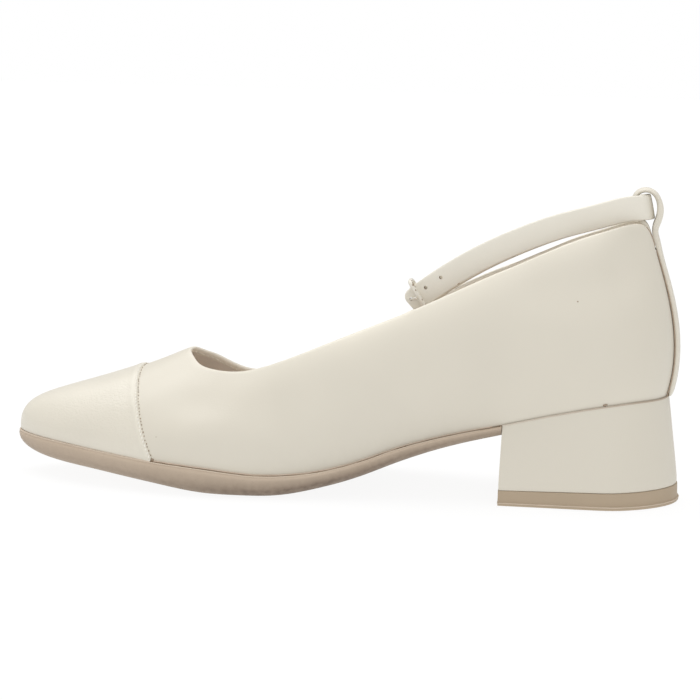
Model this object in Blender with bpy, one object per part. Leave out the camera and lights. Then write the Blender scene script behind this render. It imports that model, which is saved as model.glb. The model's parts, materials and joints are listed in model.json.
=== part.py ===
"""A right shoe: low block heel, toe cap, and an ankle strap held by a loop at the heel.

The shoe stands on the floor with +Z up. X runs from the toe to the heel. Y runs from the
inner side of the foot to its outer side. Sizes are worked out in millimetres and the solids
are in metres. The upper is one hollow skin over the last: four closed rails run round the
foot, and each section between them is a cubic curve from the feather line to the topline.
"""

import math
from collections import namedtuple

import bmesh
import bpy
import numpy as np
from mathutils import Matrix

MM = 0.001
TURN = 2.0 * math.pi
HALF_TURN = math.pi
HUNDREDTH = 0.01
ANGLE_STEP = 0.001
SEARCH_SAMPLES = 801

# Driving sizes of the last, in millimetres
LENGTH = 245.5
BALL_WIDTH = 76.0
COLLAR_HEIGHT = 104.4
TOE_ALONG = 2.0
THROAT_ACROSS = -1.5

# Walls and clearances, in millimetres
WALL = 1.8
FIT_GAP = 0.3
TOPLINE_ROUND = 0.6
CAP_WALL = 0.7
CAP_GAP = 0.3
INSOLE_THICK = 3.0
INSOLE_INSET = 2.3
INSOLE_ROUND = 1.0

# Number of points round the foot and of rings up the upper
ROUND_COUNT = 88
UPPER_LEVELS = (0.0, 0.05, 0.11, 0.17, 0.23, 0.3, 0.38, 0.47, 0.57, 0.68, 0.79, 0.89, 0.96, 1.0)

# Sections of the upper in hundredths: along and top_along of the length; breadths, wall and
# shoulder_out of the ball width; heights of the collar height; wall_up and shoulder_down of
# the section's own rise.
Section = namedtuple(
    "Section",
    "name along inner outer top_along top_inner top_outer inner_height outer_height"
    " wall_inner wall_outer wall_up shoulder_out shoulder_down",
)
SECTIONS = (
    Section("toe tip", 0.0, 0.0, 0.0, 26.5, 0.0, 0.0, 47.8, 47.8, 2.5, 2.5, 52, 59.6, 64),
    Section("toe corner", 1.8, 11.8, 11.2, 26.9, 7.2, 7.2, 47.2, 47.7, 2.4, 2.4, 42, 44.0, 52),
    Section("toe side", 6.1, 23.7, 21.4, 28.1, 13.8, 13.8, 44.8, 45.8, 2.6, 2.6, 33, 31.5, 42),
    Section("cap", 14.7, 36.8, 33.6, 30.5, 20.4, 20.4, 42.8, 42.8, 2.4, 2.4, 33, 22.0, 34),
    Section("joint", 22.8, 45.4, 41.8, 34.2, 25.7, 26.3, 42.4, 38.3, 2.6, 2.6, 39, 15.6, 31),
    Section("ball", 31.8, 49.3, 48.7, 38.7, 29.6, 30.9, 44.4, 38.5, 3.3, 3.3, 40, 12.0, 28),
    Section("fore waist", 39.9, 48.0, 51.6, 44.0, 32.6, 34.2, 49.1, 42.3, 3.9, 3.3, 37, 9.0, 29),
    Section("waist", 50.1, 40.8, 50.0, 51.3, 33.6, 35.5, 56.5, 50.8, 5.3, 3.3, 35, 6.6, 33),
    Section("arch", 60.3, 33.6, 44.7, 60.3, 33.6, 35.5, 65.6, 62.7, 7.2, 3.3, 34, 6.0, 36),
    Section("breast", 70.5, 29.6, 38.2, 69.2, 32.9, 34.2, 75.7, 73.8, 8.6, 4.6, 33, 6.0, 36),
    Section("fore heel", 78.6, 30.9, 35.5, 77.4, 32.0, 32.2, 85.1, 82.7, 7.9, 5.9, 32, 6.6, 36),
    Section("heel side", 86.8, 33.3, 34.9, 84.7, 29.3, 29.3, 92.7, 90.7, 6.6, 6.3, 31, 7.2, 35),
    Section("heel quarter", 93.7, 30.7, 31.6, 90.6, 21.7, 21.7, 97.2, 95.9, 6.3, 6.3, 31, 7.6, 35),
    Section("heel corner", 98.2, 19.1, 19.3, 95.9, 10.8, 10.8, 97.9, 97.9, 6.6, 6.6, 31, 8.6, 35),
    Section("heel seam", 99.55, 9.8, 9.8, 96.8, 6.4, 6.4, 91.5, 91.5, 6.7, 6.7, 33, 9.2, 33),
    Section("heel back", 100.0, 0.0, 0.0, 97.1, 0.0, 0.0, 89.8, 89.8, 6.7, 6.7, 33, 9.2, 33),
)

# Heights along the foot in millimetres: the feather line where upper and sole meet, and the
# tread under it. Along is in hundredths of the length.
Level = namedtuple("Level", "along height")
FEATHER_LINE = (
    Level(0.0, 15.5),
    Level(6.0, 15.0),
    Level(15.0, 13.3),
    Level(23.0, 11.6),
    Level(32.0, 10.0),
    Level(40.0, 8.3),
    Level(46.0, 9.1),
    Level(53.0, 12.7),
    Level(60.3, 19.3),
    Level(66.5, 23.6),
    Level(75.3, 28.7),
    Level(83.5, 33.9),
    Level(90.6, 37.6),
    Level(96.0, 39.3),
    Level(100.0, 39.6),
)
TREAD_LINE = (
    Level(-0.6, 9.4),
    Level(4.0, 7.3),
    Level(14.5, 5.0),
    Level(22.5, 2.9),
    Level(33.0, 0.0),
    Level(42.0, 0.0),
    Level(46.5, 2.1),
    Level(53.0, 6.2),
    Level(60.3, 13.5),
    Level(66.5, 18.8),
    Level(75.3, 24.7),
)

# Side of the outsole from its lip to its tread: how far it stands out from the feather line
# in millimetres, and how far down it lies as a share of the sole's height there.
Step = namedtuple("Step", "name out down")
SOLE_SIDE = (
    Step("lip top", 1.2, 0.0),
    Step("lip edge", 1.6, 0.12),
    Step("lip foot", 1.5, 0.3),
    Step("belly", 1.0, 0.55),
    Step("turn", -0.4, 0.8),
    Step("tread turn", -2.4, 0.95),
    Step("tread edge", -4.6, 1.0),
)
SOLE_POINTS = 30

# Heel block and its top lift, in millimetres
HEEL_BREAST = 187.2
HEEL_TOP_OUT = 0.5
HEEL_FOOT_BREAST = 186.6
HEEL_FOOT_BACK = 252.6
HEEL_FOOT_HALF_WIDTH = 28.8
HEEL_FOOT_ACROSS = 1.0
HEEL_FOOT_STRAIGHT = 0.6
HEEL_FOOT_POWER = 1.4
HEEL_RINGS = (0.0, 0.03, 0.35, 0.68, 0.97, 1.0)
HEEL_EDGE = 0.5
HEEL_POINTS = 16
LIFT_BREAST_HEIGHT = 5.3
LIFT_BACK_HEIGHT = 6.4

# Side of the top lift: how far it stands out in millimetres, and its share of the lift's height
Slab = namedtuple("Slab", "name out share")
LIFT_SIDE = (
    Slab("top", -0.2, 1.0),
    Slab("shoulder", 0.0, 0.94),
    Slab("above lip", 0.1, 0.26),
    Slab("lip top", 0.6, 0.2),
    Slab("lip foot", 0.6, 0.07),
    Slab("tread edge", 0.2, 0.0),
)

# Toe cap: its edge leans back towards the sole, and more so the lower it lies
CAP_RIDGE_ALONG = 49.7
CAP_RIDGE_HEIGHT = 41.3
CAP_LEAN = 0.222
CAP_CURVE = 0.00435
CAP_LEVELS = (0.0, 0.06, 0.13, 0.2, 0.27, 0.35, 0.44, 0.54, 0.66, 0.79, 0.9, 0.97, 1.0)
CAP_END_SHARE = 0.02
CAP_END_COLUMNS = 4

# Back strip: rows on the upper's skin, then a free route round the loop, in millimetres
STRIP_WALL = 1.6
STRIP_FOOT_HALF_WIDTH = 7.0
STRIP_TOP_HALF_WIDTH = 5.2
STRIP_LEVELS = (0.0, 0.1, 0.22, 0.34, 0.46, 0.58, 0.7, 0.82, 0.9)
STRIP_REACH = 0.7
STRIP_ACROSS = (-1.0, -0.85, -0.45, 0.0, 0.45, 0.85, 1.0)
Bend = namedtuple("Bend", "along height wall half_width bow")
LOOP_ROUTE = (
    Bend(242.0, 94.0, 1.7, 4.9, 0.8),
    Bend(240.8, 97.4, 2.3, 4.7, 0.6),
    Bend(239.95, 100.4, 2.0, 4.6, 0.4),
    Bend(240.5, 103.0, 2.5, 4.5, 0.2),
    Bend(241.5, 105.6, 2.3, 4.5, 0.1),
    Bend(241.7, 108.5, 2.3, 4.5, 0.0),
    Bend(241.1, 111.5, 2.3, 4.4, 0.0),
    Bend(239.6, 114.2, 2.3, 4.3, 0.0),
    Bend(236.8, 115.6, 2.3, 4.2, 0.0),
    Bend(233.8, 115.1, 2.3, 4.0, 0.0),
    Bend(231.8, 112.8, 2.3, 4.0, 0.0),
    Bend(231.7, 109.8, 2.1, 4.0, 0.0),
    Bend(233.1, 106.4, 1.9, 4.0, 0.0),
    Bend(234.3, 104.2, 1.8, 4.0, 0.0),
    Bend(236.8, 102.5, 1.7, 4.2, 0.1),
    Bend(237.9, 100.2, 1.2, 4.1, 0.3),
    Bend(238.7, 98.0, 1.0, 3.8, 0.4),
    Bend(239.2, 96.7, 0.9, 3.4, 0.5),
)

# Ankle strap: its middle line from the tip, round the heel, to the fold at the buckle's bar
STRAP_WIDTH = 9.2
STRAP_WALL = 1.8
STRAP_LEAN = 0.22
STRAP_LEAN_FROM = 222.0
STRAP_LEAN_TO = 237.0
STRAP_STEP = 4.0
Route = namedtuple("Route", "name along across height")
STRAP_ROUTE = (
    Route("tip", 150.95, -9.4, 70.3),
    Route("first hole", 152.6, -9.6, 71.9),
    Route("last hole", 162.2, -10.6, 79.6),
    Route("fore inner", 176.4, -11.6, 88.7),
    Route("mid inner", 190.8, -12.1, 95.9),
    Route("rear inner", 205.0, -12.0, 101.5),
    Route("heel inner", 219.5, -9.9, 105.7),
    Route("turn inner", 231.2, -6.7, 108.6),
    Route("loop inner", 237.2, -3.2, 109.05),
    Route("loop outer", 237.2, 3.2, 109.05),
    Route("turn outer", 231.2, 6.7, 107.7),
    Route("heel outer", 219.5, 9.4, 104.2),
    Route("rear outer", 205.0, 9.6, 99.7),
    Route("mid outer", 190.8, 6.8, 94.1),
    Route("fore outer", 176.4, 1.6, 87.2),
    Route("near fold", 166.0, -1.9, 81.1),
    Route("fold", 157.4, -2.9, 75.4),
)
STRAP_EDGE = 0.35
FOLD_LEAD = 3.3
FOLD_LENGTH = 9.0
FOLD_SHARES = (0.35, 0.7, 1.0)
FOLD_ARC_STEPS = 8
HOLE_RADIUS = 0.7
HOLE_SIDES = 12
HOLE_PITCH = 6.8
HOLE_COUNT = 3
HOLE_DEPTH = 2.6
HOLE_RISE = 1.2
FIRST_HOLE_FROM_TIP = 2.0
TIP_ROUND = 2.8
TIP_STEPS = 4

# Buckle, in millimetres
BAR_RADIUS = 0.9
BAR_SIDES = 10
FRAME_CLEAR_HEIGHT = 13.8
FRAME_RISE = -0.7
FRAME_CORNER = 1.8
FRAME_CORNER_STEPS = 3
FRAME_FROM_TIP = 5.2
FRAME_STAND_OFF = 2.7
PRONG_RADIUS = 0.5
PRONG_SIDES = 8
PRONG_STEP = 0.8
PRONG_HOOK = (-70.0, -35.0, 0.0, 35.0)
PRONG_REST = (-20.0, 25.0, 70.0)
SLOT_HEIGHT = 3.2
SLOT_RISE = 0.9
SLOT_REACH = 4.0
SLOT_DEPTH = 8.0

# Roughness and linear base colours of the parts
SOFT = 0.6
SMOOTH = 0.5
GLOSSY = 0.4
CREAM = (0.723, 0.679, 0.578, 1.0)
CREAM_CAP = (0.752, 0.708, 0.607, 1.0)
CREAM_HEEL = (0.716, 0.665, 0.558, 1.0)
CREAM_STRIP = (0.665, 0.617, 0.516, 1.0)
CREAM_STRAP = (0.680, 0.638, 0.546, 1.0)
CREAM_METAL = (0.716, 0.680, 0.590, 1.0)
TAUPE = (0.462, 0.371, 0.275, 1.0)
TAUPE_LIFT = (0.434, 0.342, 0.250, 1.0)
BEIGE = (0.552, 0.468, 0.371, 1.0)


def closed_spline(knots, values):
    """A smooth closed curve of the angle through the given values."""
    knots = np.asarray(knots, float)
    values = np.asarray(values, float)
    count = len(knots)
    steps = np.diff(np.append(knots, knots[0] + TURN))
    system = np.zeros((count, count))
    right = np.zeros_like(values)
    for i in range(count):
        before = steps[i - 1]
        after = steps[i]
        following = (i + 1) % count
        system[i, i - 1] += 1.0 / before
        system[i, i] += 2.0 / before + 2.0 / after
        system[i, following] += 1.0 / after
        rise_before = (values[i] - values[i - 1]) / before**2
        rise_after = (values[following] - values[i]) / after**2
        right[i] = 3.0 * (rise_before + rise_after)
    slopes = np.linalg.solve(system, right)

    def at(angle):
        angle = np.mod(np.asarray(angle, float) - knots[0], TURN) + knots[0]
        i = np.clip(np.searchsorted(knots, angle, side="right") - 1, 0, count - 1)
        j = (i + 1) % count
        step = steps[i][..., None]
        u = (angle - knots[i])[..., None] / step
        start = (2 * u**3 - 3 * u**2 + 1) * values[i] + (u**3 - 2 * u**2 + u) * step * slopes[i]
        end = (3 * u**2 - 2 * u**3) * values[j] + (u**3 - u**2) * step * slopes[j]
        return start + end

    return at


def level_curve(rows):
    """A height over the length that never overshoots between its rows."""
    places = np.array([TOE_ALONG + row.along * HUNDREDTH * LENGTH for row in rows])
    heights = np.array([row.height for row in rows], float)
    steps = np.diff(places)
    rates = np.diff(heights) / steps
    slopes = np.zeros_like(places)
    for i in range(1, len(places) - 1):
        if rates[i - 1] * rates[i] > 0.0:
            before = 2.0 * steps[i] + steps[i - 1]
            after = steps[i] + 2.0 * steps[i - 1]
            slopes[i] = (before + after) / (before / rates[i - 1] + after / rates[i])
    slopes[0] = rates[0]
    slopes[-1] = rates[-1]

    def at(along):
        along = np.clip(np.asarray(along, float), places[0], places[-1])
        i = np.clip(np.searchsorted(places, along, side="right") - 1, 0, len(places) - 2)
        u = (along - places[i]) / steps[i]
        start = (2 * u**3 - 3 * u**2 + 1) * heights[i] + (u**3 - 2 * u**2 + u) * steps[i] * slopes[i]
        end = (3 * u**2 - 2 * u**3) * heights[i + 1] + (u**3 - u**2) * steps[i] * slopes[i + 1]
        return start + end

    return at


def section_angle(share):
    """The angle round the foot at a share of the length, on the inner side."""
    return math.acos(1.0 - 2.0 * share)


def along_angle(along):
    """The angle round the foot at a place along it, on the inner side."""
    return section_angle((along - TOE_ALONG) / LENGTH)


def outline_rows():
    """Angles and row values round the whole foot, inner side first."""
    angles = []
    rows = []
    for s in SECTIONS:
        angles.append(section_angle(s.along * HUNDREDTH))
        inner = (-s.inner, s.top_along, -s.top_inner, s.inner_height, s.wall_inner)
        rows.append(inner + (s.wall_up, s.shoulder_out, s.shoulder_down))
    for s in SECTIONS[-2:0:-1]:
        angles.append(TURN - section_angle(s.along * HUNDREDTH))
        outer = (s.outer, s.top_along, s.top_outer, s.outer_height, s.wall_outer)
        rows.append(outer + (s.wall_up, s.shoulder_out, s.shoulder_down))
    return angles, np.array(rows) * HUNDREDTH


SHAPE = closed_spline(*outline_rows())
FEATHER_HEIGHT = level_curve(FEATHER_LINE)
TREAD_HEIGHT = level_curve(TREAD_LINE)


def foot_plan(angle):
    """Feather line seen from above."""
    along = TOE_ALONG + LENGTH * (1.0 - np.cos(angle)) / 2.0
    return np.stack([along, SHAPE(angle)[..., 0] * BALL_WIDTH], -1)


def top_plan(angle):
    """Topline seen from above."""
    values = SHAPE(angle)
    shift = THROAT_ACROSS * np.clip(np.cos(angle), 0.0, 1.0) ** 4
    return np.stack([TOE_ALONG + values[..., 1] * LENGTH, values[..., 2] * BALL_WIDTH + shift], -1)


def outward(plan, angle):
    """Level unit direction pointing out of a plan curve."""
    run = plan(angle + ANGLE_STEP) - plan(angle - ANGLE_STEP)
    normal = np.stack([run[..., 1], -run[..., 0]], -1)
    return normal / np.linalg.norm(normal, axis=-1, keepdims=True)


def raised(plan, height):
    """Plan points lifted to the given heights."""
    return np.concatenate([plan, np.broadcast_to(height, plan.shape[:-1])[..., None]], -1)


def skin_point(angle, share):
    """Point of the upper's outer skin at an angle and a share of its rise."""
    angle = np.asarray(angle, float)
    values = SHAPE(angle)
    foot = foot_plan(angle)
    top = top_plan(angle)
    low = FEATHER_HEIGHT(foot[..., 0]) + FIT_GAP
    high = values[..., 3] * COLLAR_HEIGHT
    rise = high - low
    wall = foot + outward(foot_plan, angle) * (values[..., 4] * BALL_WIDTH)[..., None]
    shoulder = top + outward(top_plan, angle) * (values[..., 6] * BALL_WIDTH)[..., None]
    t = np.asarray(share, float)[..., None]
    point = (1.0 - t) ** 3 * raised(foot, low)
    point = point + 3.0 * (1.0 - t) ** 2 * t * raised(wall, low + rise * values[..., 5])
    point = point + 3.0 * (1.0 - t) * t**2 * raised(shoulder, high - rise * values[..., 7])
    return point + t**3 * raised(top, high)


def skin_normal(angle, share):
    """Unit direction out of the upper's skin."""
    round_run = skin_point(angle + ANGLE_STEP, share) - skin_point(angle - ANGLE_STEP, share)
    low = np.clip(share - ANGLE_STEP, 0.0, 1.0)
    high = np.clip(share + ANGLE_STEP, 0.0, 1.0)
    up_run = skin_point(angle, high) - skin_point(angle, low)
    normal = np.cross(round_run, up_run)
    return normal / np.linalg.norm(normal, axis=-1, keepdims=True)


def skin_offset(angle, share, distance):
    """Point at a distance outside the upper's skin."""
    share = np.broadcast_to(np.asarray(share, float), np.shape(angle))
    return skin_point(angle, share) + skin_normal(angle, share) * distance


def unit(vector):
    """The vector at length one."""
    return vector / np.linalg.norm(vector, axis=-1, keepdims=True)


def material(name, colour, roughness):
    """A plain material of one part."""
    made = bpy.data.materials.new(name)
    made.use_nodes = True
    shader = made.node_tree.nodes["Principled BSDF"]
    shader.inputs["Base Color"].default_value = colour
    shader.inputs["Roughness"].default_value = roughness
    return made


def ring_solid(name, rings, joined, finish):
    """One closed body skinned over rings of equal count.

    A joined body runs from its last ring back to its first. Any other body is capped by
    strips between the two halves of its first and of its last ring.
    """
    mesh = bpy.data.meshes.new(name)
    body = bmesh.new()
    rows = [[body.verts.new(point * MM) for point in ring] for ring in rings]
    count = len(rows[0])
    pairs = list(zip(rows, rows[1:]))
    if joined:
        pairs.append((rows[-1], rows[0]))
    for low, high in pairs:
        for k in range(count):
            after = (k + 1) % count
            body.faces.new((low[k], low[after], high[after], high[k]))
    if not joined:
        for row in (rows[0], rows[-1]):
            for k in range(count // 2):
                face = [row[k], row[k + 1], row[count - 2 - k], row[count - 1 - k]]
                face = list(dict.fromkeys(face))
                if len(face) > 2:
                    body.faces.new(face)
    bmesh.ops.recalc_face_normals(body, faces=body.faces)
    if body.calc_volume(signed=True) < 0.0:
        bmesh.ops.reverse_faces(body, faces=body.faces)
    body.to_mesh(mesh)
    body.free()
    mesh.materials.append(finish)
    part = bpy.data.objects.new(name, mesh)
    bpy.context.scene.collection.objects.link(part)
    return part


def build_upper(finish):
    """Hollow skin of the vamp and quarters, open above and below."""
    angles = np.arange(ROUND_COUNT) * TURN / ROUND_COUNT
    outer = [skin_offset(angles, share, 0.0) for share in UPPER_LEVELS]
    inner = [skin_offset(angles, share, -WALL) for share in UPPER_LEVELS]
    up = unit(outer[-1] - outer[-2])
    rim = (outer[-1] + inner[-1]) / 2.0 + up * TOPLINE_ROUND
    inner[0][:, 2] = outer[0][:, 2]
    return ring_solid("upper", outer + [rim] + inner[::-1], True, finish)


def cap_share(angles):
    """Share of the rise at which the skin meets the cap's edge."""
    shares = np.linspace(0.0, 1.0, SEARCH_SAMPLES)
    found = []
    for angle in angles:
        points = skin_point(np.full(shares.shape, angle), shares)
        drop = CAP_RIDGE_HEIGHT - points[:, 2]
        edge = CAP_RIDGE_ALONG + CAP_LEAN * drop + CAP_CURVE * drop**2
        found.append(np.interp(0.0, points[:, 0] - edge, shares))
    return np.array(found)


def build_toe_cap(finish):
    """Thin overlay of the toe that follows the upper's own skin up to the cap's edge."""
    trial = np.linspace(-HALF_TURN / 2.0, HALF_TURN / 2.0, SEARCH_SAMPLES)
    trial = trial[cap_share(trial) > CAP_END_SHARE]
    step = TURN / ROUND_COUNT
    first = math.ceil(trial[0] / step)
    last = math.floor(trial[-1] / step)
    inner_end = np.linspace(trial[0], first * step, CAP_END_COLUMNS, endpoint=False)
    outer_end = np.linspace(trial[-1], last * step, CAP_END_COLUMNS, endpoint=False)[::-1]
    angles = np.concatenate([inner_end, np.arange(first, last + 1) * step, outer_end])
    tops = cap_share(angles)
    outer = []
    inner = []
    for level in CAP_LEVELS:
        outer.append(skin_offset(angles, tops * level, CAP_GAP + CAP_WALL))
        inner.append(skin_offset(angles, tops * level, CAP_GAP))
    rings = []
    for k in range(len(angles)):
        column = [row[k] for row in outer] + [row[k] for row in inner[::-1]]
        rings.append(np.array(column))
    return ring_solid("toe_cap", rings, False, finish)


def build_outsole(finish):
    """Moulded sole with a lip, a rounded side, toe spring and a rising waist."""
    breast = HEEL_BREAST - FIT_GAP
    limit = along_angle(breast)
    angles = np.linspace(limit, -limit, 2 * SOLE_POINTS + 1)
    plan = foot_plan(angles)
    out = outward(foot_plan, angles)
    rings = []
    for step in SOLE_SIDE:
        edge = plan + out * step.out
        edge[:, 0] = np.minimum(edge[:, 0], breast)
        edge[0, 0] = breast
        edge[-1, 0] = breast
        top = FEATHER_HEIGHT(edge[:, 0])
        height = top + (TREAD_HEIGHT(edge[:, 0]) - top) * step.down
        rings.append(raised(edge, height))
    return ring_solid("outsole", rings, False, finish)


def heel_turns():
    """Quarter-turn shares from the inner breast corner to the back, and the side of each."""
    quarter = np.linspace(0.0, 1.0, HEEL_POINTS + 1)
    turns = np.concatenate([quarter, quarter[-2::-1]])
    sides = np.where(np.arange(len(turns)) <= HEEL_POINTS, -1.0, 1.0)
    return turns, sides


def heel_foot_plan(out):
    """D-shaped foot of the heel, grown by the given amount except at its breast."""
    turns, sides = heel_turns()
    reach = np.sin(turns * HALF_TURN / 2.0)
    back = np.clip((reach - HEEL_FOOT_STRAIGHT) / (1.0 - HEEL_FOOT_STRAIGHT), 0.0, 1.0)
    half = HEEL_FOOT_HALF_WIDTH + out
    across = sides * half * np.sqrt(np.clip(1.0 - back**HEEL_FOOT_POWER, 0.0, 1.0))
    length = HEEL_FOOT_BACK + out - HEEL_FOOT_BREAST
    return np.stack([HEEL_FOOT_BREAST + reach * length, HEEL_FOOT_ACROSS + across], -1)


def lift_height(along):
    """Height of the top lift, which grows from the breast to the back."""
    places = (HEEL_FOOT_BREAST, HEEL_FOOT_BACK)
    return np.interp(along, places, (LIFT_BREAST_HEIGHT, LIFT_BACK_HEIGHT))


def build_heel_block(finish):
    """Covered block under the heel, from the seat to the flared foot."""
    limit = along_angle(HEEL_BREAST)
    turns, sides = heel_turns()
    angles = HALF_TURN + sides * (1.0 - turns) * (HALF_TURN - limit)
    top = foot_plan(angles) + outward(foot_plan, angles) * HEEL_TOP_OUT
    top[0, 0] = HEEL_BREAST
    top[-1, 0] = HEEL_BREAST
    top = raised(top, FEATHER_HEIGHT(top[:, 0]))
    foot = heel_foot_plan(0.0)
    foot = raised(foot, lift_height(foot[:, 0]) + FIT_GAP)
    middle = np.array([(HEEL_BREAST + HEEL_FOOT_BACK) / 2.0, HEEL_FOOT_ACROSS, 0.0])
    rings = []
    for share in HEEL_RINGS:
        ring = top + (foot - top) * share
        if share in (HEEL_RINGS[0], HEEL_RINGS[-1]):
            inward = unit((middle - ring) * (1.0, 1.0, 0.0))
            ring = ring + inward * HEEL_EDGE
        rings.append(ring)
    return ring_solid("heel_block", rings, False, finish)


def build_top_lift(finish):
    """Walking piece under the heel block, with a small lip round its foot."""
    rings = []
    for slab in LIFT_SIDE:
        plan = heel_foot_plan(slab.out)
        rings.append(raised(plan, lift_height(plan[:, 0]) * slab.share))
    return ring_solid("heel_top_lift", rings, False, finish)


def build_insole(finish):
    """Board that covers the inside of the sole and the heel seat."""
    angles = (np.arange(ROUND_COUNT) + 0.5) * TURN / ROUND_COUNT
    plan = foot_plan(angles)
    out = outward(foot_plan, angles)
    floor = FEATHER_HEIGHT(plan[:, 0]) + FIT_GAP
    rings = [
        raised(plan - out * INSOLE_INSET, floor),
        raised(plan - out * INSOLE_INSET, floor + INSOLE_THICK - INSOLE_ROUND),
        raised(plan - out * (INSOLE_INSET + INSOLE_ROUND), floor + INSOLE_THICK),
    ]
    return ring_solid("insole", rings, False, finish)


def strip_angle(share, across):
    """Angle at the heel's back where the skin lies at the given place across."""
    angles = np.linspace(HALF_TURN - STRIP_REACH, HALF_TURN + STRIP_REACH, SEARCH_SAMPLES)
    points = skin_point(angles, np.full(angles.shape, share))
    return np.interp(across, points[:, 1], angles)


def build_back_strip(finish):
    """Strip over the back seam that goes on above the collar as a loop."""
    across = np.array(STRIP_ACROSS)
    rings = []
    for share in STRIP_LEVELS:
        blend = share / STRIP_LEVELS[-1]
        half = STRIP_FOOT_HALF_WIDTH + (STRIP_TOP_HALF_WIDTH - STRIP_FOOT_HALF_WIDTH) * blend
        angles = strip_angle(share, across * half)
        outer = skin_offset(angles, share, FIT_GAP + STRIP_WALL)
        inner = skin_offset(angles, share, FIT_GAP)
        rings.append(np.concatenate([outer, inner[::-1]]))
    last = rings[-1][: len(across)]
    bow = (last[:, 0] - last[:, 0].max()) / STRIP_TOP_HALF_WIDTH**2
    line = np.array([(bend.along, bend.height) for bend in LOOP_ROUTE])
    run = unit(np.gradient(line, axis=0))
    side = np.stack([run[:, 1], -run[:, 0]], -1)
    for bend, centre, normal in zip(LOOP_ROUTE, line, side):
        sag = bow * bend.bow * bend.half_width**2
        outer = centre + normal * bend.wall / 2.0
        inner = centre - normal * bend.wall / 2.0
        flat = across * bend.half_width
        outer_row = np.stack([outer[0] + sag, flat, np.full(flat.shape, outer[1])], -1)
        inner_row = np.stack([inner[0] + sag, flat, np.full(flat.shape, inner[1])], -1)
        rings.append(np.concatenate([outer_row, inner_row[::-1]]))
    return ring_solid("back_strip", rings, False, finish)


def open_spline(points, step):
    """Points at an even step along a smooth curve through the given points."""
    points = np.asarray(points, float)
    reach = np.concatenate([[0.0], np.cumsum(np.linalg.norm(np.diff(points, axis=0), axis=1))])
    count = len(points)
    gaps = np.diff(reach)
    system = np.zeros((count, count))
    right = np.zeros_like(points)
    for i in range(count):
        if i > 0:
            system[i, i - 1] += 1.0 / gaps[i - 1]
            system[i, i] += 2.0 / gaps[i - 1]
            right[i] += 3.0 * (points[i] - points[i - 1]) / gaps[i - 1] ** 2
        if i < count - 1:
            system[i, i + 1] += 1.0 / gaps[i]
            system[i, i] += 2.0 / gaps[i]
            right[i] += 3.0 * (points[i + 1] - points[i]) / gaps[i] ** 2
    slopes = np.linalg.solve(system, right)
    places = np.linspace(0.0, reach[-1], max(2, int(round(reach[-1] / step))) + 1)
    i = np.clip(np.searchsorted(reach, places, side="right") - 1, 0, count - 2)
    gap = gaps[i][:, None]
    u = (places - reach[i])[:, None] / gap
    start = (2 * u**3 - 3 * u**2 + 1) * points[i] + (u**3 - 2 * u**2 + u) * gap * slopes[i]
    end = (3 * u**2 - 2 * u**3) * points[i + 1] + (u**3 - u**2) * gap * slopes[i + 1]
    return start + end


def strap_up(centre, run):
    """Direction of the strap's width: upright, leaning to the toe at the heel."""
    share = (centre[:, 0] - STRAP_LEAN_FROM) / (STRAP_LEAN_TO - STRAP_LEAN_FROM)
    share = np.clip(share, 0.0, 1.0)
    lean = STRAP_LEAN * share * share * (3.0 - 2.0 * share)
    up = np.stack([-lean, np.zeros_like(lean), np.ones_like(lean)], -1)
    up = up - run * np.sum(up * run, axis=1, keepdims=True)
    return unit(up)


def strap_line():
    """Middle line of the strap with its fold, its running, width and face directions."""
    line = open_spline([(r.along, r.across, r.height) for r in STRAP_ROUTE], STRAP_STEP)
    end = line[-1]
    run = unit(line[-1] - line[-2])
    up = strap_up(end[None, :], run[None, :])[0]
    face = np.cross(up, run)
    radius = BAR_RADIUS + FIT_GAP + STRAP_WALL / 2.0
    bar = end + face * radius + run * FOLD_LEAD
    points = list(line)
    for k in range(FOLD_ARC_STEPS + 1):
        turn = HALF_TURN * k / FOLD_ARC_STEPS
        points.append(bar - face * radius * math.cos(turn) + run * radius * math.sin(turn))
    meet = STRAP_WALL + FIT_GAP
    closing = 2.0 * radius - meet
    for share in FOLD_SHARES:
        ease = share * share * (3.0 - 2.0 * share)
        points.append(bar + face * (radius - closing * ease) - run * FOLD_LENGTH * share)
    points = np.array(points)
    runs = unit(np.gradient(points, axis=0))
    ups = strap_up(points, runs)
    ups[len(line) - 1 :] = up
    return points, runs, ups, bar, run, up, face


def build_strap(finish, cutters):
    """One strap from its rounded tip, round the heel, to its fold at the buckle."""
    points, runs, ups, _, _, _, _ = strap_line()
    faces = np.cross(ups, runs)
    reach = np.concatenate([[0.0], np.cumsum(np.linalg.norm(np.diff(points, axis=0), axis=1))])
    shares = np.linspace(0.0, 1.0, TIP_STEPS + 1)[:-1]
    tip_reach = TIP_ROUND * (1.0 - np.cos(shares * HALF_TURN / 2.0))
    reaches = np.concatenate([tip_reach, reach[reach > TIP_ROUND]])
    rings = []
    for place in reaches:
        centre = np.array([np.interp(place, reach, points[:, k]) for k in range(3)])
        up = unit(np.array([np.interp(place, reach, ups[:, k]) for k in range(3)]))
        face = unit(np.array([np.interp(place, reach, faces[:, k]) for k in range(3)]))
        half = STRAP_WIDTH / 2.0
        inside = max(0.0, TIP_ROUND - place)
        half -= TIP_ROUND - math.sqrt(max(0.0, TIP_ROUND**2 - inside**2))
        thick = STRAP_WALL / 2.0
        section = (
            (-half + STRAP_EDGE, -thick),
            (half - STRAP_EDGE, -thick),
            (half, -thick + STRAP_EDGE),
            (half, thick - STRAP_EDGE),
            (half - STRAP_EDGE, thick),
            (-half + STRAP_EDGE, thick),
            (-half, thick - STRAP_EDGE),
            (-half, -thick + STRAP_EDGE),
        )
        rings.append(np.array([centre + up * a + face * b for a, b in section]))
    strap = ring_solid("ankle_strap", rings, False, finish)
    for cutter in cutters:
        cut = strap.modifiers.new(cutter.name, "BOOLEAN")
        cut.operation = "DIFFERENCE"
        cut.solver = "EXACT"
        cut.object = cutter
    return strap


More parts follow.
